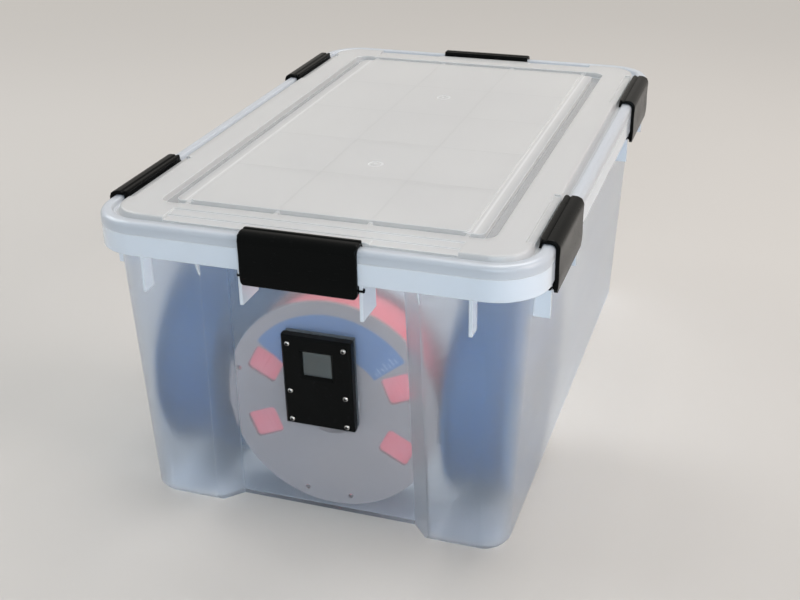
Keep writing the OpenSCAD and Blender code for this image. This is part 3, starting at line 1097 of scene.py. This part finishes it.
def facing(right: Vector, up: Vector, out: Vector) -> Matrix:
    """Returns the turn that puts the x, y and z axes along these three."""
    return Matrix((right, up, out)).transposed().to_4x4()


def finished(piece: bpy.types.Object) -> tuple[list[Vector], list[tuple[int, ...]]]:
    """Reads a piece as finished and placed.

    Args:
        piece: The piece.

    Returns:
        The points, and the faces as indexes of them.
    """
    done = piece.evaluated_get(bpy.context.evaluated_depsgraph_get())
    mesh = done.to_mesh()
    points = [done.matrix_world @ vertex.co for vertex in mesh.vertices]
    faces = [tuple(face.vertices) for face in mesh.polygons]
    done.to_mesh_clear()
    return points, faces


def arc(cx: float, cy: float, radius: float, start: float, end: float, steps: int) -> list[Point]:
    """Returns points on an arc between two angles in degrees."""
    angles = [math.radians(start + (end - start) * i / steps) for i in range(steps + 1)]
    return [(cx + radius * math.cos(a), cy + radius * math.sin(a)) for a in angles]


# ---------------------------------------------------------------- camera and points


@dataclass
class PhotoCamera:
    """The photograph's camera, named values settled by the image points."""

    place: Place = (0.35894, -1.10141, 0.65959)
    yaw: float = 0.328
    pitch: float = 0.456
    roll: float = -0.015
    lens: float = 54.19
    sensor: float = 36.0
    clip: Point = (0.01, 60.0)
    size: tuple[int, int] = (800, 600)
    body: bpy.types.Object | None = None

    def build(self) -> None:
        """Makes the camera and gives it to the scene."""
        data = bpy.data.cameras.new("photo camera")
        data.lens, data.sensor_width, data.sensor_fit = self.lens, self.sensor, "AUTO"
        data.clip_start, data.clip_end = self.clip
        self.body = bpy.data.objects.new("photo camera", data)
        bpy.context.scene.collection.objects.link(self.body)
        flat = math.cos(self.pitch)
        ahead = Vector(
            (-math.sin(self.yaw) * flat, math.cos(self.yaw) * flat, -math.sin(self.pitch))
        )
        level = Vector((math.cos(self.yaw), math.sin(self.yaw), 0))
        upright = level.cross(ahead)
        right = level * math.cos(self.roll) + upright * math.sin(self.roll)
        up = -level * math.sin(self.roll) + upright * math.cos(self.roll)
        self.body.matrix_world = Matrix.Translation(self.place) @ facing(right, up, -ahead)
        bpy.context.scene.camera = self.body
        log.info("camera at %s, lens %.1f", self.place, self.lens)

    def ray(self, xy: Point) -> tuple[Vector, Vector]:
        """Sends a ray through an image point.

        Args:
            xy: The point.

        Returns:
            The start and the direction.
        """
        data, (w, h) = self.body.data, self.size
        long = max(w, h)
        aim = Vector(
            (
                xy[0] - w / 2 + data.shift_x * long,
                h / 2 - xy[1] + data.shift_y * long,
                -long * data.lens / data.sensor_width,
            )
        )
        return Vector(self.place), (self.body.matrix_world.to_3x3() @ aim).normalized()

    def shows(self, spot: Vector) -> Point:
        """Finds where a place in the scene shows in the image.

        Args:
            spot: The place.

        Returns:
            The image point.
        """
        data, (w, h) = self.body.data, self.size
        long = max(w, h)
        at = self.body.matrix_world.inverted() @ spot
        scale = long * data.lens / data.sensor_width / -at.z
        middle_x, middle_y = w / 2 - data.shift_x * long, h / 2 + data.shift_y * long
        return middle_x + at.x * scale, middle_y - at.y * scale


IMAGE_POINTS: dict[str, Point] = {
    "object_left": (102, 217),
    "object_right": (646.5, 92),
    "object_top": (360, 50),
    "object_bottom": (484, 550.5),
    "front_latch_top_left": (247, 229),
    "front_latch_bottom_right": (359, 300.5),
    "bezel_front_top_left": (279, 334),
    "bezel_front_bottom_right": (354.5, 434),
    "screw_top_left": (285.1, 342.5),
    "screw_bottom_right": (347.7, 428),
    "gate_mark_front": (377, 164.6),
    "gate_mark_rear": (443, 98),
    "catch_bump_front_latch": (364.5, 243.5),
    "catch_bump_right_latch": (554, 197.5),
    "catch_bump_rear_latch": (621, 80),
    "spool_left": (229.5, 395),
    "spool_bottom": (365, 505),
}


@dataclass
class PhotoPoints:
    """Places things by image points, and writes how far each shows from its point."""

    camera: PhotoCamera
    near: float = 0.6  # where along a ray that misses the search starts, in metres
    step: float = 0.02
    tries: int = 70
    slack: float = 0.8  # pixels by which a point may fall short and still be furthest
    seen: dict[str, Point] = field(default_factory=dict)

    def surface(self, pieces: Sequence[bpy.types.Object]) -> BVHTree:
        """Makes a search tree of pieces as finished.

        Args:
            pieces: The pieces.

        Returns:
            The tree.
        """
        shell = Shell()
        for piece in pieces:
            shell.add(*finished(piece))
        return BVHTree.FromPolygons(shell.points, shell.faces)

    def place(self, name: str, carrier: BVHTree) -> tuple[Vector, Vector]:
        """Finds where an image point falls on what carries the piece.

        Args:
            name: The point's name.
            carrier: The search tree of what carries the piece.

        Returns:
            The place and the surface's normal there. A miss takes the place nearest the ray.
        """
        start, aim = self.camera.ray(IMAGE_POINTS[name])
        spot, normal, _, _ = carrier.ray_cast(start, aim)
        if spot is None:
            tries = [start + aim * (self.near + self.step * i) for i in range(self.tries)]
            spot, normal, _, _ = min((carrier.find_nearest(t) for t in tries), key=lambda f: f[3])
        return spot, normal

    def note(self, name: str, spot: Vector) -> None:
        """Notes where a named thing shows."""
        self.seen[name] = self.camera.shows(spot)

    def corner(self, name: str, piece: bpy.types.Object, way: Place) -> None:
        """Notes a piece's finished point that lies furthest one way."""
        self.note(name, max(finished(piece)[0], key=Vector(way).dot))

    def extreme(self, name: str, pieces: Sequence[bpy.types.Object], axis: int, sign: int) -> None:
        """Notes the finished point that shows furthest to one side of the image.

        Args:
            name: The point's name.
            pieces: The pieces that it may be on.
            axis: 0 across the image, 1 down it.
            sign: 1 for the right or the bottom, -1 for the left or the top.
        """
        spots = [self.camera.shows(spot) for piece in pieces for spot in finished(piece)[0]]
        limit = max(sign * spot[axis] for spot in spots) - self.slack
        wanted = IMAGE_POINTS[name]
        far = [spot for spot in spots if sign * spot[axis] >= limit]
        self.seen[name] = min(far, key=lambda spot: math.dist(spot, wanted))

    def write(self) -> None:
        """Writes how far in x and y each thing shows from its point."""
        gaps = {
            name: {
                "point": [float(v) for v in IMAGE_POINTS[name]],
                "off": [round(self.seen[name][i] - IMAGE_POINTS[name][i], 2) for i in (0, 1)],
            }
            for name in IMAGE_POINTS
            if name in self.seen
        }
        for name, gap in gaps.items():
            log.info("point %s off by %s", name, gap["off"])


# ---------------------------------------------------------------- studio


@dataclass
class Studio:
    """A plain pale floor and soft lamps."""

    reach: float = 14.0
    below: float = 0.2 * MM
    sky: Colour = (0.92, 0.95, 1.0)
    sky_strength: float = 0.3
    aim: Place = (0.0, 0.0, 0.15)

    def floor(self) -> None:
        """Lays the floor."""
        r, shell = self.reach, Shell()
        corners = ((-r, -r), (r, -r), (r, r), (-r, r))
        shell.add([Vector((x, y, -self.below)) for x, y in corners], [(0, 1, 2, 3)])
        mesh = shell.mesh("floor")
        mesh.materials.append(FLOOR.material())
        floor = bpy.data.objects.new("floor", mesh)
        bpy.context.scene.collection.objects.link(floor)

    def lamp(self, name: str, place: Place, size: Point, watts: float, tint: Colour) -> None:
        """Hangs one soft lamp that faces the box.

        Args:
            name: The lamp's name.
            place: Where it hangs.
            size: Its width and height.
            watts: Its power.
            tint: Its colour.
        """
        data = bpy.data.lights.new(name, "AREA")
        data.shape, data.size, data.size_y = "RECTANGLE", *size
        data.energy, data.color = watts, tint
        lamp = bpy.data.objects.new(name, data)
        lamp.location = place
        aim = Vector(self.aim) - Vector(place)
        lamp.rotation_euler = aim.to_track_quat("-Z", "Y").to_euler()
        bpy.context.scene.collection.objects.link(lamp)

    def world(self) -> None:
        """Makes a soft sky that cameras, metal and glass see as the floor's pale tone."""
        world = bpy.data.worlds.new("studio")
        bpy.context.scene.world = world
        nodes = Nodes(world)
        soft = nodes.node("ShaderNodeBackground", None, {0: self.sky, 1: self.sky_strength})
        pale = nodes.node("ShaderNodeBackground", None, {0: BACKDROP, 1: 1.0})
        seen, through = nodes.ray("Is Camera Ray"), nodes.ray("Is Transmission Ray")
        share = seen.most(through, nodes.ray("Is Glossy Ray"))
        nodes.show(nodes.either(share, soft, pale), "ShaderNodeOutputWorld")

    def build(self) -> None:
        """Builds the floor, the sky and the lamps."""
        self.floor()
        self.world()
        self.lamp("window", (-2.3, 0.3, 2.1), (1.6, 1.6), 32, (0.95, 0.98, 1.0))
        self.lamp("overhead", (0.3, 1.3, 2.9), (1.4, 1.4), 40, (1.0, 0.985, 0.96))
        self.lamp("doorway", (2.6, -0.3, 1.5), (1.6, 1.6), 41, (1.0, 0.91, 0.86))
        self.lamp("daylight", (0.9, -2.7, 1.3), (2.0, 1.6), 34, (0.68, 0.86, 1.0))
        bpy.context.scene.view_settings.view_transform = "Standard"
        log.info("studio built")


# ---------------------------------------------------------------- sub-assemblies


@dataclass
class Tote:
    """The tub, its lid and the seal between them. Sizes in mm."""

    band_low: float = 251.0
    wall_high: float = 251.5
    tab_low: float = 217.0
    foot: Point = (171.0, 280.0)
    draft: Point = (12.0, 5.0)
    recess_half: float = 90.0
    recess_deep: float = 14.0
    panel_in: float = 240.0
    tab_proud: float = 0.6
    squarely: Point = (0.98, 0.9)  # how far along X or Y, or Z, a face's normal has to point
    channel_high: float = 279.0
    channel: tuple[Point, Point] = ((137.5, 149.5), (239.5, 251.5))
    bump_half: Place = (2.8, 1.3, 1.1)
    tub: bpy.types.Object | None = None
    lid: bpy.types.Object | None = None

    def tub_kind(self, spot: Vector, out: Vector) -> int:
        """Sorts a face: 1 for the band or its tabs, 2 for an end panel, 0 for the wall.

        Args:
            spot: The face's middle.
            out: Its normal.

        Returns:
            The material number.
        """
        x, y, z = abs(spot.x) / MM, abs(spot.y) / MM, spot.z / MM
        if z > self.band_low:
            return 1
        past_x, past_y = (
            at - foot - draft * z / self.wall_high
            for at, foot, draft in zip((x, y), self.foot, self.draft)
        )
        mid, sunk = x < self.recess_half, past_y < -self.recess_deep
        if mid and sunk and y > self.panel_in and abs(out.y) > self.squarely[1]:
            return 2
        cheek = mid and past_y > -self.recess_deep and abs(out.x) > self.squarely[0]
        return int(z > self.tab_low and (max(past_x, past_y) > self.tab_proud or cheek))

    def lid_kind(self, spot: Vector, out: Vector) -> int:
        """Sorts a face: 1 for the channel round the panel, which takes painted shade, 0 for the
        rest.

        Args:
            spot: The face's middle.
            out: Its normal.

        Returns:
            The material number.
        """
        x, y, z = abs(spot.x) / MM, abs(spot.y) / MM, spot.z / MM
        (x0, x1), (y0, y1) = self.channel
        low = z < self.channel_high and out.z > self.squarely[1]
        return int(low and x < x1 and y < y1 and (x > x0 or y > y0))

    def build(self) -> None:
        """Dresses the tub and the lid, each in several kinds of its plastic with painted shade in
        the lid's channel, and the seal.
        """
        tub, lid = copied("tub", self.tub_kind), copied("lid", self.lid_kind)
        walls, top = [TUB_WALL, TUB_RIM, TUB_PANEL], [LID_TOP, LID_CHANNEL_SHADE]
        self.tub = add_piece(
            "milky_tub", tub, walls, "tub_body", ["tub"], None
        )
        self.lid = add_piece("milky_lid", lid, top, "lid_body", ["lid"], None)
        evened(self.tub)
        dress("lid_gasket", SEAL_FOAM)

    def catch_bumps(self, points: PhotoPoints) -> None:
        """Sets the small moulded bumps beside the latches by their image points.

        Args:
            points: The image points.
        """
        carrier = points.surface([self.lid])
        for latch, along in (("front", (1, 0, 0)), ("right", (0, 1, 0)), ("rear", (0, 1, 0))):
            name = f"catch_bump_{latch}_latch"
            spot, normal = points.place(name, carrier)
            side = normal.cross(Vector(along)).normalized()
            shell = Shell()
            shape = Matrix.Diagonal((*(MM * half for half in self.bump_half), 1))
            shell.lathe(arc(0, 0, 1.0, -90, 90, 6), shape, 16)
            mesh = shell.mesh(name)
            mesh.transform(Matrix.Translation(spot) @ facing(side.cross(normal), side, normal))
            add_piece(name, mesh, [LID_TOP], "lid_body")
            points.note(name, spot)


class Side(Enum):
    """The side of the box that a latch is on, as the latch's turn about z in degrees."""

    FRONT = 180
    BACK = 0
    RIGHT = -90
    LEFT = 90


@dataclass
class Latch:
    """One hinged latch: a bent plate with a hook, a hinge barrel and two pins. Sizes in mm."""

    name: str
    side: Side
    reach: float = 13.8
    out: float = 3.7
    thick: float = 3.3
    width: float = 102.0
    pivot_in: float = 3.0
    pivot_up: float = 7.0
    barrel: float = 3.6
    pin: float = 2.0
    pin_end: float = 55.4
    chamfer: float = 0.4
    play: float = 0.3
    web_in: float = 0.6
    web_up: Point = (4.2, 7.4)
    corner: float = 5.0
    roll: float = 8.0
    line_in: float = 7.6
    line: float = 1.25
    edge: float = 0.9
    edge_in: float = 1.4
    face_from: float = -2.5
    hook_to: float = -4.0
    hook_share: float = 0.6
    ends: tuple[float, ...] = (0, 0.2, 0.55, 1, 1.5, 2.2, 3, 4, 5, 9, 20, 36)
    steps: int = 24

    def place(self) -> Matrix:
        """Finds where the latch's own axes stand, with y outwards from the band's face.

        Returns:
            The place.
        """
        lo, hi = (Vector(c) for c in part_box(self.name))
        tub_lo, tub_hi = (Vector(c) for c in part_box("tub"))
        middle = (lo + hi) / 2
        spot = {
            Side.FRONT: (middle.x, tub_lo.y),
            Side.BACK: (middle.x, tub_hi.y),
            Side.LEFT: (tub_lo.x, middle.y),
            Side.RIGHT: (tub_hi.x, middle.y),
        }[self.side]
        turn = Matrix.Rotation(math.radians(self.side.value), 4, "Z")
        return Matrix.Translation((*spot, 0)) @ turn

    def outline(self, low: float, top: float) -> list[Point]:
        """Gives the section of the bent plate, (y, z) in mm, round from the hook's tip.

        A fine groove runs along its top, and its face is slightly hollow.

        Args:
            low: Height of the plate's lower edge.
            top: Height of its top.

        Returns:
            The section's points.
        """
        face, roof, hook = self.out - self.thick, top - 3.3, top - 7.5
        inner = self.roll - self.thick
        groove = arc(-self.line_in - self.line, top, self.line, -150, -30, 2)
        return [
            (-self.reach + 0.35, hook),
            (-self.reach, hook + 0.5),
            *arc(-self.reach + 1.5, top - 1.5, 1.5, 180, 90, 4),
            (-self.line_in - 2 * self.line - 0.3, top),
            *groove,
            (-self.line_in + 0.3, top),
            *arc(self.out - self.roll, top - self.roll, self.roll, 90, 5, 10),
            (self.out - 0.12, top - 10.0),
            (self.out - 0.3, top - 14.0),
            (self.out - 0.42, top - 20.0),
            (self.out - 0.3, top - 27.0),
            (self.out - 0.12, low + 13.0),
            (self.out - 0.4, low + 6.0),
            (self.out - 0.9, low + 2.6),
            *arc(self.out - 2.2, low + 1.3, 1.3, 10, -90, 4),
            (face - 0.5, low),
            (face - 0.7, low + 0.5),
            (face - 0.9, low + 5.0),
            (face, low + 10.0),
            *arc(face - inner, roof - inner, inner, 0, 90, 6),
            (-self.reach + 2.9, roof),
            (-self.reach + 2.4, roof - 0.6),
            (-self.reach + 2.4, hook + 0.5),
            (-self.reach + 2.05, hook),
        ]

    def squeeze(self, x: float, y: float, z: float, low: float, top: float) -> Vector:
        """Rounds the plate's corners and the edges of its ends, in mm.

        Args:
            x: Place along the latch from its middle.
            y: Place outwards.
            z: Height.
            low: Height of the plate's lower edge.
            top: Height of its top.

        Returns:
            The moved point.
        """
        end = self.width / 2 - abs(x)
        rise = 0.0
        if end < self.corner:
            rise = self.corner - math.sqrt(max(self.corner**2 - (self.corner - end) ** 2, 0.0))
        if y > self.face_from:
            z = max(z, low + rise)
        if y < self.hook_to and z > top - self.thick - 0.1:
            y = max(y, -self.reach + rise * self.hook_share)
        if end < self.edge_in:
            past = (self.edge_in - end) / self.edge_in
            inward = self.edge * (1 - math.sqrt(max(1 - past**2, 0.0)))
            y -= inward * (y > self.out - self.thick / 2)
            z -= inward * (z > top - self.thick / 2)
        return Vector((x, y, z))

    def build(self) -> bpy.types.Object:
        """Builds the latch in its place, closed.

        Returns:
            The latch.
        """
        low, top = (corner[2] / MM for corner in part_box(self.name))
        shell = Shell()
        half = self.width / 2
        stations = [-half + d for d in self.ends] + [0.0] + [half - d for d in reversed(self.ends)]
        section = self.outline(low, top)
        n = len(section)
        points = [self.squeeze(x, y, z, low, top) for x in stations for y, z in section]
        caps = [tuple(range(n)), tuple(range(len(points) - n, len(points)))]
        shell.add([p * MM for p in points], rings(len(stations), n, True, False) + caps)
        pivot = Vector((0, -self.pivot_in, low + self.pivot_up)) * MM
        hinge = Matrix.Translation(pivot) @ Matrix.Rotation(math.radians(90), 4, "Y")
        pin, barrel, cut, end = self.pin, self.barrel, self.chamfer, half - self.play
        profile = [(0, -self.pin_end), (pin - cut, -self.pin_end), (pin, -self.pin_end + cut)]
        profile += [(pin, -end), (barrel - cut, -end), (barrel, -end + cut)]
        profile += [(r, -z) for r, z in reversed(profile)]
        shell.lathe([(r * MM, z * MM) for r, z in profile], hinge, self.steps)
        side, web_out = half - self.web_in, self.out - self.thick + self.web_in
        web_low = Vector((-side, -self.pivot_in, low + self.web_up[0])) * MM
        web_high = Vector((side, web_out, low + self.web_up[1])) * MM
        shell.box(web_low, web_high, Matrix())
        mesh = shell.mesh(self.name)
        mesh.transform(self.place())
        piece, body = f"{self.name}_plate", f"{self.name}_body"
        return add_piece(piece, mesh, [LATCH_BLACK], body, [self.name])


DIGIT_STROKES = {
    "4": [(0, 1, True), (1, 1, True), (1, 0, True), (0, 1, False)],
    "5": [(0, 2, False), (0, 1, True), (0, 1, False), (1, 0, True), (0, 0, False)],
}


@dataclass
class Hygrometer:
    """The bezel in the front panel with its display, board and screws. Sizes in mm."""

    head: float = 2.5
    head_high: float = 1.7
    socket: float = 1.1
    shank: float = 1.5
    steps: int = 24
    stroke: Place = (0.9, 5.2, 5.4)  # a stroke's thickness, then the steps across and up
    digits_at: Point = (-7.4, -5.0)
    digit_step: float = 7.6
    stroke_full: float = 0.78
    display_sunk: float = 0.14
    stroke_proud: float = 0.08
    digits: tuple[str, str] = ("4", "5")
    bezel: bpy.types.Object | None = None
    axes: Matrix = field(default_factory=Matrix)

    def find_axes(self) -> None:
        """Takes the leaning panel's axes from the pane's largest face."""
        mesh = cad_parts["hygrometer_pane"].data
        front = max((p for p in mesh.polygons if p.normal.y < -0.5), key=lambda p: p.area)
        out = front.normal.normalized()
        across = Vector((1, 0, 0))
        up = out.cross(across).normalized()
        middle = sum((v.co for v in mesh.vertices), Vector()) / len(mesh.vertices)
        self.axes = Matrix.Translation(middle) @ facing(across, up, out)

    def local_box(self, node: str) -> tuple[Vector, Vector]:
        """Finds a node's lowest and highest corners in the panel's axes.

        Args:
            node: The node's name.

        Returns:
            The two corners.
        """
        back = self.axes.inverted()
        spots = [back @ v.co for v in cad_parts[node].data.vertices]
        low = Vector([min(row) for row in zip(*spots)])
        high = Vector([max(row) for row in zip(*spots)])
        return low, high

    def islands(self, node: str) -> list[list[Vector]]:
        """Sorts a node's points, in the panel's axes, by the solids that they belong to.

        Args:
            node: The node's name.

        Returns:
            One list of points for each solid.
        """
        work = bmesh.new()
        work.from_mesh(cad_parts[node].data)
        bmesh.ops.remove_doubles(work, verts=work.verts, dist=WELD)
        back, left, found = self.axes.inverted(), dict.fromkeys(work.verts), []
        while left:
            edge, island = [left.popitem()[0]], []
            while edge:
                vert = edge.pop()
                island.append(back @ vert.co)
                near = [v for v in (e.other_vert(vert) for e in vert.link_edges) if v in left]
                for other in near:
                    del left[other]
                edge += near
            found.append(island)
        work.free()
        return found

    def display(self) -> None:
        """Builds the display with two faint generic digits a hair proud of it."""
        low, high = self.local_box("hygrometer_display")
        face = high.z - self.display_sunk * MM
        shell = Shell()
        shell.box(low, (high.x, high.y, face), self.axes)
        thick, wide, tall = (size * MM for size in self.stroke)
        left, foot = (at * MM for at in self.digits_at)
        gap, full, front = thick * 1.1, self.stroke_full, face + self.stroke_proud * MM
        for place, digit in enumerate(self.digits):
            for column, row, upright in DIGIT_STROKES[digit]:
                x = left + place * self.digit_step * MM + (column * wide if upright else gap)
                y = foot + row * tall + (gap if upright else 0)
                across, along = (thick, tall * full) if upright else (wide * full, thick)
                shell.box((x, y, face), (x + across, y + along, front), self.axes, 1)
        mesh = shell.mesh("display", FINE_WELD)
        finishes, node = [DISPLAY_GREY, SEGMENT_GREY], "hygrometer_display"
        add_piece("hygrometer_display_face", mesh, finishes, "tub_body", [node])

    def screws(self, points: PhotoPoints) -> None:
        """Turns the six button-head screws.

        Args:
            points: The image points, which note two of the heads.
        """
        shell = Shell()
        seat = self.local_box("hygrometer_bezel")[1].z
        sizes = (self.shank, self.head, self.head_high, self.socket)
        shank, r, h, s = (MM * size for size in sizes)
        crown = [(0.97, 0), (1, 0.14), (0.96, 0.38), (0.84, 0.68), (0.68, 0.88)]
        hole = [(1.35, 1), (1.12, 0.96), (1, -0.2), (0, -0.25)]
        head = [(r * across, seat + h * up) for across, up in crown]
        socket = [(s * across, seat + h * up) for across, up in hole]

        def hexed(i: int, angle: float) -> Point:
            """Flattens the socket's round wall into six sides.

            Args:
                i: The profile point's number.
                angle: The angle about the screw.

            Returns:
                How far the point moves out and up.
            """
            turn = (angle % math.radians(60)) - math.radians(30)
            flat = s * (math.cos(math.radians(30)) / math.cos(turn) - 1)
            return (flat if i in (1, 2) else 0.0), 0.0

        tops: list[Vector] = []
        for island in self.islands("bezel_screws"):
            xs, ys, zs = zip(*island)
            x, y, back = (min(xs) + max(xs)) / 2, (min(ys) + max(ys)) / 2, min(zs)
            pin = [(0, back), (shank * 0.8, back), (shank, back + 0.3 * MM), (shank, seat)]
            middle = self.axes @ Matrix.Translation((x, y, 0))
            shell.lathe([*pin, *head, socket[0]], middle, self.steps)
            # The socket's inside is drawn in the dark steel of painted shade.
            shell.lathe(socket, middle, self.steps, shift=hexed, kind=1)
            tops.append(Vector((x, y, seat + h)))
        tops.sort(key=lambda top: top.y - top.x)
        points.note("screw_top_left", self.axes @ tops[-1])
        points.note("screw_bottom_right", self.axes @ tops[0])
        mesh = shell.mesh("screws")
        finishes, slot = [SCREW_STEEL, SOCKET_SHADE], "bright_steel"
        add_piece("button_head_screws", mesh, finishes, "tub_body", ["bezel_screws"])

    def build(self, points: PhotoPoints) -> None:
        """Builds and dresses the hygrometer.

        Args:
            points: The image points.
        """
        self.find_axes()
        node, slot = "hygrometer_bezel", "black_housing"
        self.bezel = add_piece(
            "printed_bezel", copied(node), [HOUSING_BLACK], "tub_body", [node], None
        )
        self.display()
        self.screws(points)
        for node, finish in (
            ("hygrometer_pane", WINDOW),
            ("hygrometer_board", BOARD_GREEN),
            ("coin_cell", CELL_STEEL),
            ("bezel_gasket", BLACK_RUBBER),
            ("hygrometer_backplate", HOUSING_BLACK),
            ("bezel_nuts", SCREW_STEEL),
        ):
            dress(node, finish)


@dataclass
class Spool:
    """A reel, its wound filament and its blank label. Sizes in mm."""

    key: str
    strand: Strand
    reel: Finish
    pitch: float = 1.79
    core: float = 50.2
    wound: float = 93.0
    inside: float = 24.9
    swell: tuple[int, ...] = (-58, -20, 20, 58)  # where a strand's points are, in degrees
    slot: str = "blue_filament"
    lean: float = 0.0
    stray: Point = (0.16, 0.07)  # how far a turn wanders in and along
    drift: Point = (1.9, 2.3)
    steps: int = 84
    tick_edge: float = 39.5
    tick_reach: Point = (3.6, 6.0)
    tick_radii: tuple[int, int, int] = (57, 84, 4)
    tick_size: Point = (0.5, 0.05)

    def place(self) -> Matrix:
        """Finds the spool's axes, with z along its axle towards its label.

        Returns:
            The place.
        """
        lo, hi = (Vector(c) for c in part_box(f"{self.key}_reel"))
        label_lo, label_hi = (Vector(c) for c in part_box(f"{self.key}_label"))
        middle = (lo + hi) / 2
        thin = min(range(3), key=lambda i: label_hi[i] - label_lo[i])
        out = Vector((0, 0, 0))
        out[thin] = math.copysign(1.0, (label_lo + label_hi)[thin] / 2 - middle[thin])
        up = Vector((0, 0, 1))
        turn = Matrix.Rotation(math.radians(-self.lean), 4, "X")
        return Matrix.Translation(middle) @ turn @ facing(up.cross(out), up, out)

    def ticks(self) -> None:
        """Prints a plain row of gauge ticks along the label's lower right edge."""
        place = self.place()
        back = place.inverted()
        face = max((back @ v.co).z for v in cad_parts[f"{self.key}_label"].data.vertices)
        wide, proud = self.tick_size
        shell = Shell()
        for number, inner in enumerate(range(*self.tick_radii)):
            reach, outer = self.tick_reach[number % 2], inner + wide
            ring = [
                polar(r * MM, math.radians(self.tick_edge + reach * i / 4), face + z * MM)
                for i in range(5)
                for r, z in ((inner, 0), (inner, proud), (outer, proud), (outer, 0))
            ]
            shell.add(ring, [*rings(5, 4, True, False), (0, 1, 2, 3), (16, 17, 18, 19)])
        mesh = shell.mesh(f"{self.key}_ticks", FINE_WELD)
        mesh.transform(place)
        add_piece(f"{self.key}_label_ticks", mesh, [LABEL_MARKS], "tub_body")

    def winding(self) -> None:
        """Winds the filament as turns that show their strands on the outside and at both sides."""
        half, r = self.inside, self.pitch / 2
        bulge = [(r * math.sin(math.radians(a)), r * math.cos(math.radians(a))) for a in self.swell]
        deep = int((self.wound - self.core) / self.pitch)
        layers = [self.core + r + k * self.pitch for k in range(deep)]
        turns = [half - r - k * self.pitch for k in range(int(2 * half / self.pitch))]
        profile: list[Point] = [(self.core, -half + r), (self.core, half - r)]
        profile += [(at + b, half - r + out) for at in layers for b, out in bulge]
        profile += [(self.wound - r + out, at - b) for at in turns for b, out in bulge]
        profile += [(at - b, -half + r - out) for at in reversed(layers) for b, out in bulge]

        def wander(i: int, angle: float) -> Point:
            """Lets each turn wander a little.

            Args:
                i: The profile point's number.
                angle: The angle about the axle.

            Returns:
                How far the point moves out and up.
            """
            if i < 2:
                return 0.0, 0.0
            turn = (i - 2) // len(self.swell)
            depth = -self.stray[0] * (1 + math.sin(2 * angle + turn * self.drift[0])) * MM
            return depth, self.stray[1] * math.sin(3 * angle + turn * self.drift[1]) * MM

        shell = Shell()
        turned = [(x * MM, z * MM) for x, z in profile]
        shell.lathe(turned, self.place(), self.steps, True, wander)
        name, node = f"{self.key}_winding", f"{self.key}_filament"
        mesh = shell.mesh(name, FINE_WELD)
        add_piece(name, mesh, [self.strand], "tub_body", [node], 60)

    def build(self) -> None:
        """Builds the winding and dresses the reel and the label."""
        self.winding()
        dress(f"{self.key}_reel", self.reel)
        dress(f"{self.key}_label", LABEL_BLUE)
        self.ticks()


@dataclass
class Desiccant:
    """A slotted canister full of gel beads. Sizes in mm."""

    bead: float = 4.6
    fill: float = 0.62
    top_in: float = 2.4  # how many of its radii the top layer's last bead stays from the wall
    golden: float = 2.399963  # the turn from one bead of the top layer to the next, in radians

    def build(self) -> None:
        """Fills the canister with beads and dresses it."""
        lo, hi = (Vector(c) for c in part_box("desiccant_beads"))
        middle, across, high = (lo + hi) / 2, (hi.x - lo.x) / 2, hi.z - lo.z
        r = self.bead / 2 * MM
        ring, top = int(math.tau * (across - r) / (2 * r)), (across / r) ** 2 * self.fill
        reach = across - self.top_in * r
        spots = [
            polar(across - r, math.tau * (k + row % 2 / 2) / ring, lo.z + r + row * 2 * r)
            for row in range(int(high / (2 * r)))
            for k in range(ring)
        ]
        spots += [
            polar(reach * math.sqrt((k + 0.5) / top), k * self.golden, hi.z - r)
            for k in range(int(top))
        ]
        mesh = bpy.data.meshes.new("beads")
        with worked(mesh) as work:
            for spot in spots:
                place = Matrix.Translation(Vector((middle.x, middle.y, 0)) + spot)
                bmesh.ops.create_icosphere(work, subdivisions=1, radius=r, matrix=place)
        add_piece("gel_beads", mesh, [GEL], "tub_body", ["desiccant_beads"], 80)
        dress("desiccant_canister", CAN_WHITE)
        dress("canister_cap", CAN_WHITE)


# ---------------------------------------------------------------- main


def main() -> None:
    """Builds the scene."""
    logging.basicConfig(level=logging.INFO, format="%(name)s: %(message)s")
    camera = PhotoCamera()
    camera.build()
    points = PhotoPoints(camera)
    Studio().build()
    tote = Tote()
    tote.build()
    latches = {
        "latch_front": Side.FRONT,
        "latch_back": Side.BACK,
        "latch_left_front": Side.LEFT,
        "latch_left_rear": Side.LEFT,
        "latch_right_front": Side.RIGHT,
        "latch_right_rear": Side.RIGHT,
    }
    plates = {name: Latch(name, side).build() for name, side in latches.items()}
    hygrometer = Hygrometer()
    hygrometer.build(points)
    Spool("front", RED_STRAND, REEL_GREY, slot="red_filament", lean=3.0).build()
    for key in ("left", "right"):
        Spool(key, BLUE_STRAND, REEL_BLUE).build()
    Desiccant().build()
    tote.catch_bumps(points)
    lid_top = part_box("lid")[1][2]
    points.note("gate_mark_front", Vector((0, -LID_TOP.gate_y, lid_top)))
    points.note("gate_mark_rear", Vector((0, LID_TOP.gate_y, lid_top)))
    points.corner("front_latch_top_left", plates["latch_front"], (-1, 0.1, 1.2))
    points.corner("front_latch_bottom_right", plates["latch_front"], (1.2, -1, -0.9))
    points.corner("bezel_front_top_left", hygrometer.bezel, (-1, -1.2, 1))
    points.corner("bezel_front_bottom_right", hygrometer.bezel, (1, -1.2, -1))
    whole, reel = [tote.tub, tote.lid, *plates.values()], [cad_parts["front_reel"]]
    for name, pieces, axis, sign in (
        ("object_left", whole, 0, -1),
        ("object_right", whole, 0, 1),
        ("object_top", whole, 1, -1),
        ("object_bottom", whole, 1, 1),
        ("spool_left", reel, 0, -1),
        ("spool_bottom", reel, 1, 1),
    ):
        points.extreme(name, pieces, axis, sign)
    points.write()


if __name__ == "__main__":
    main()
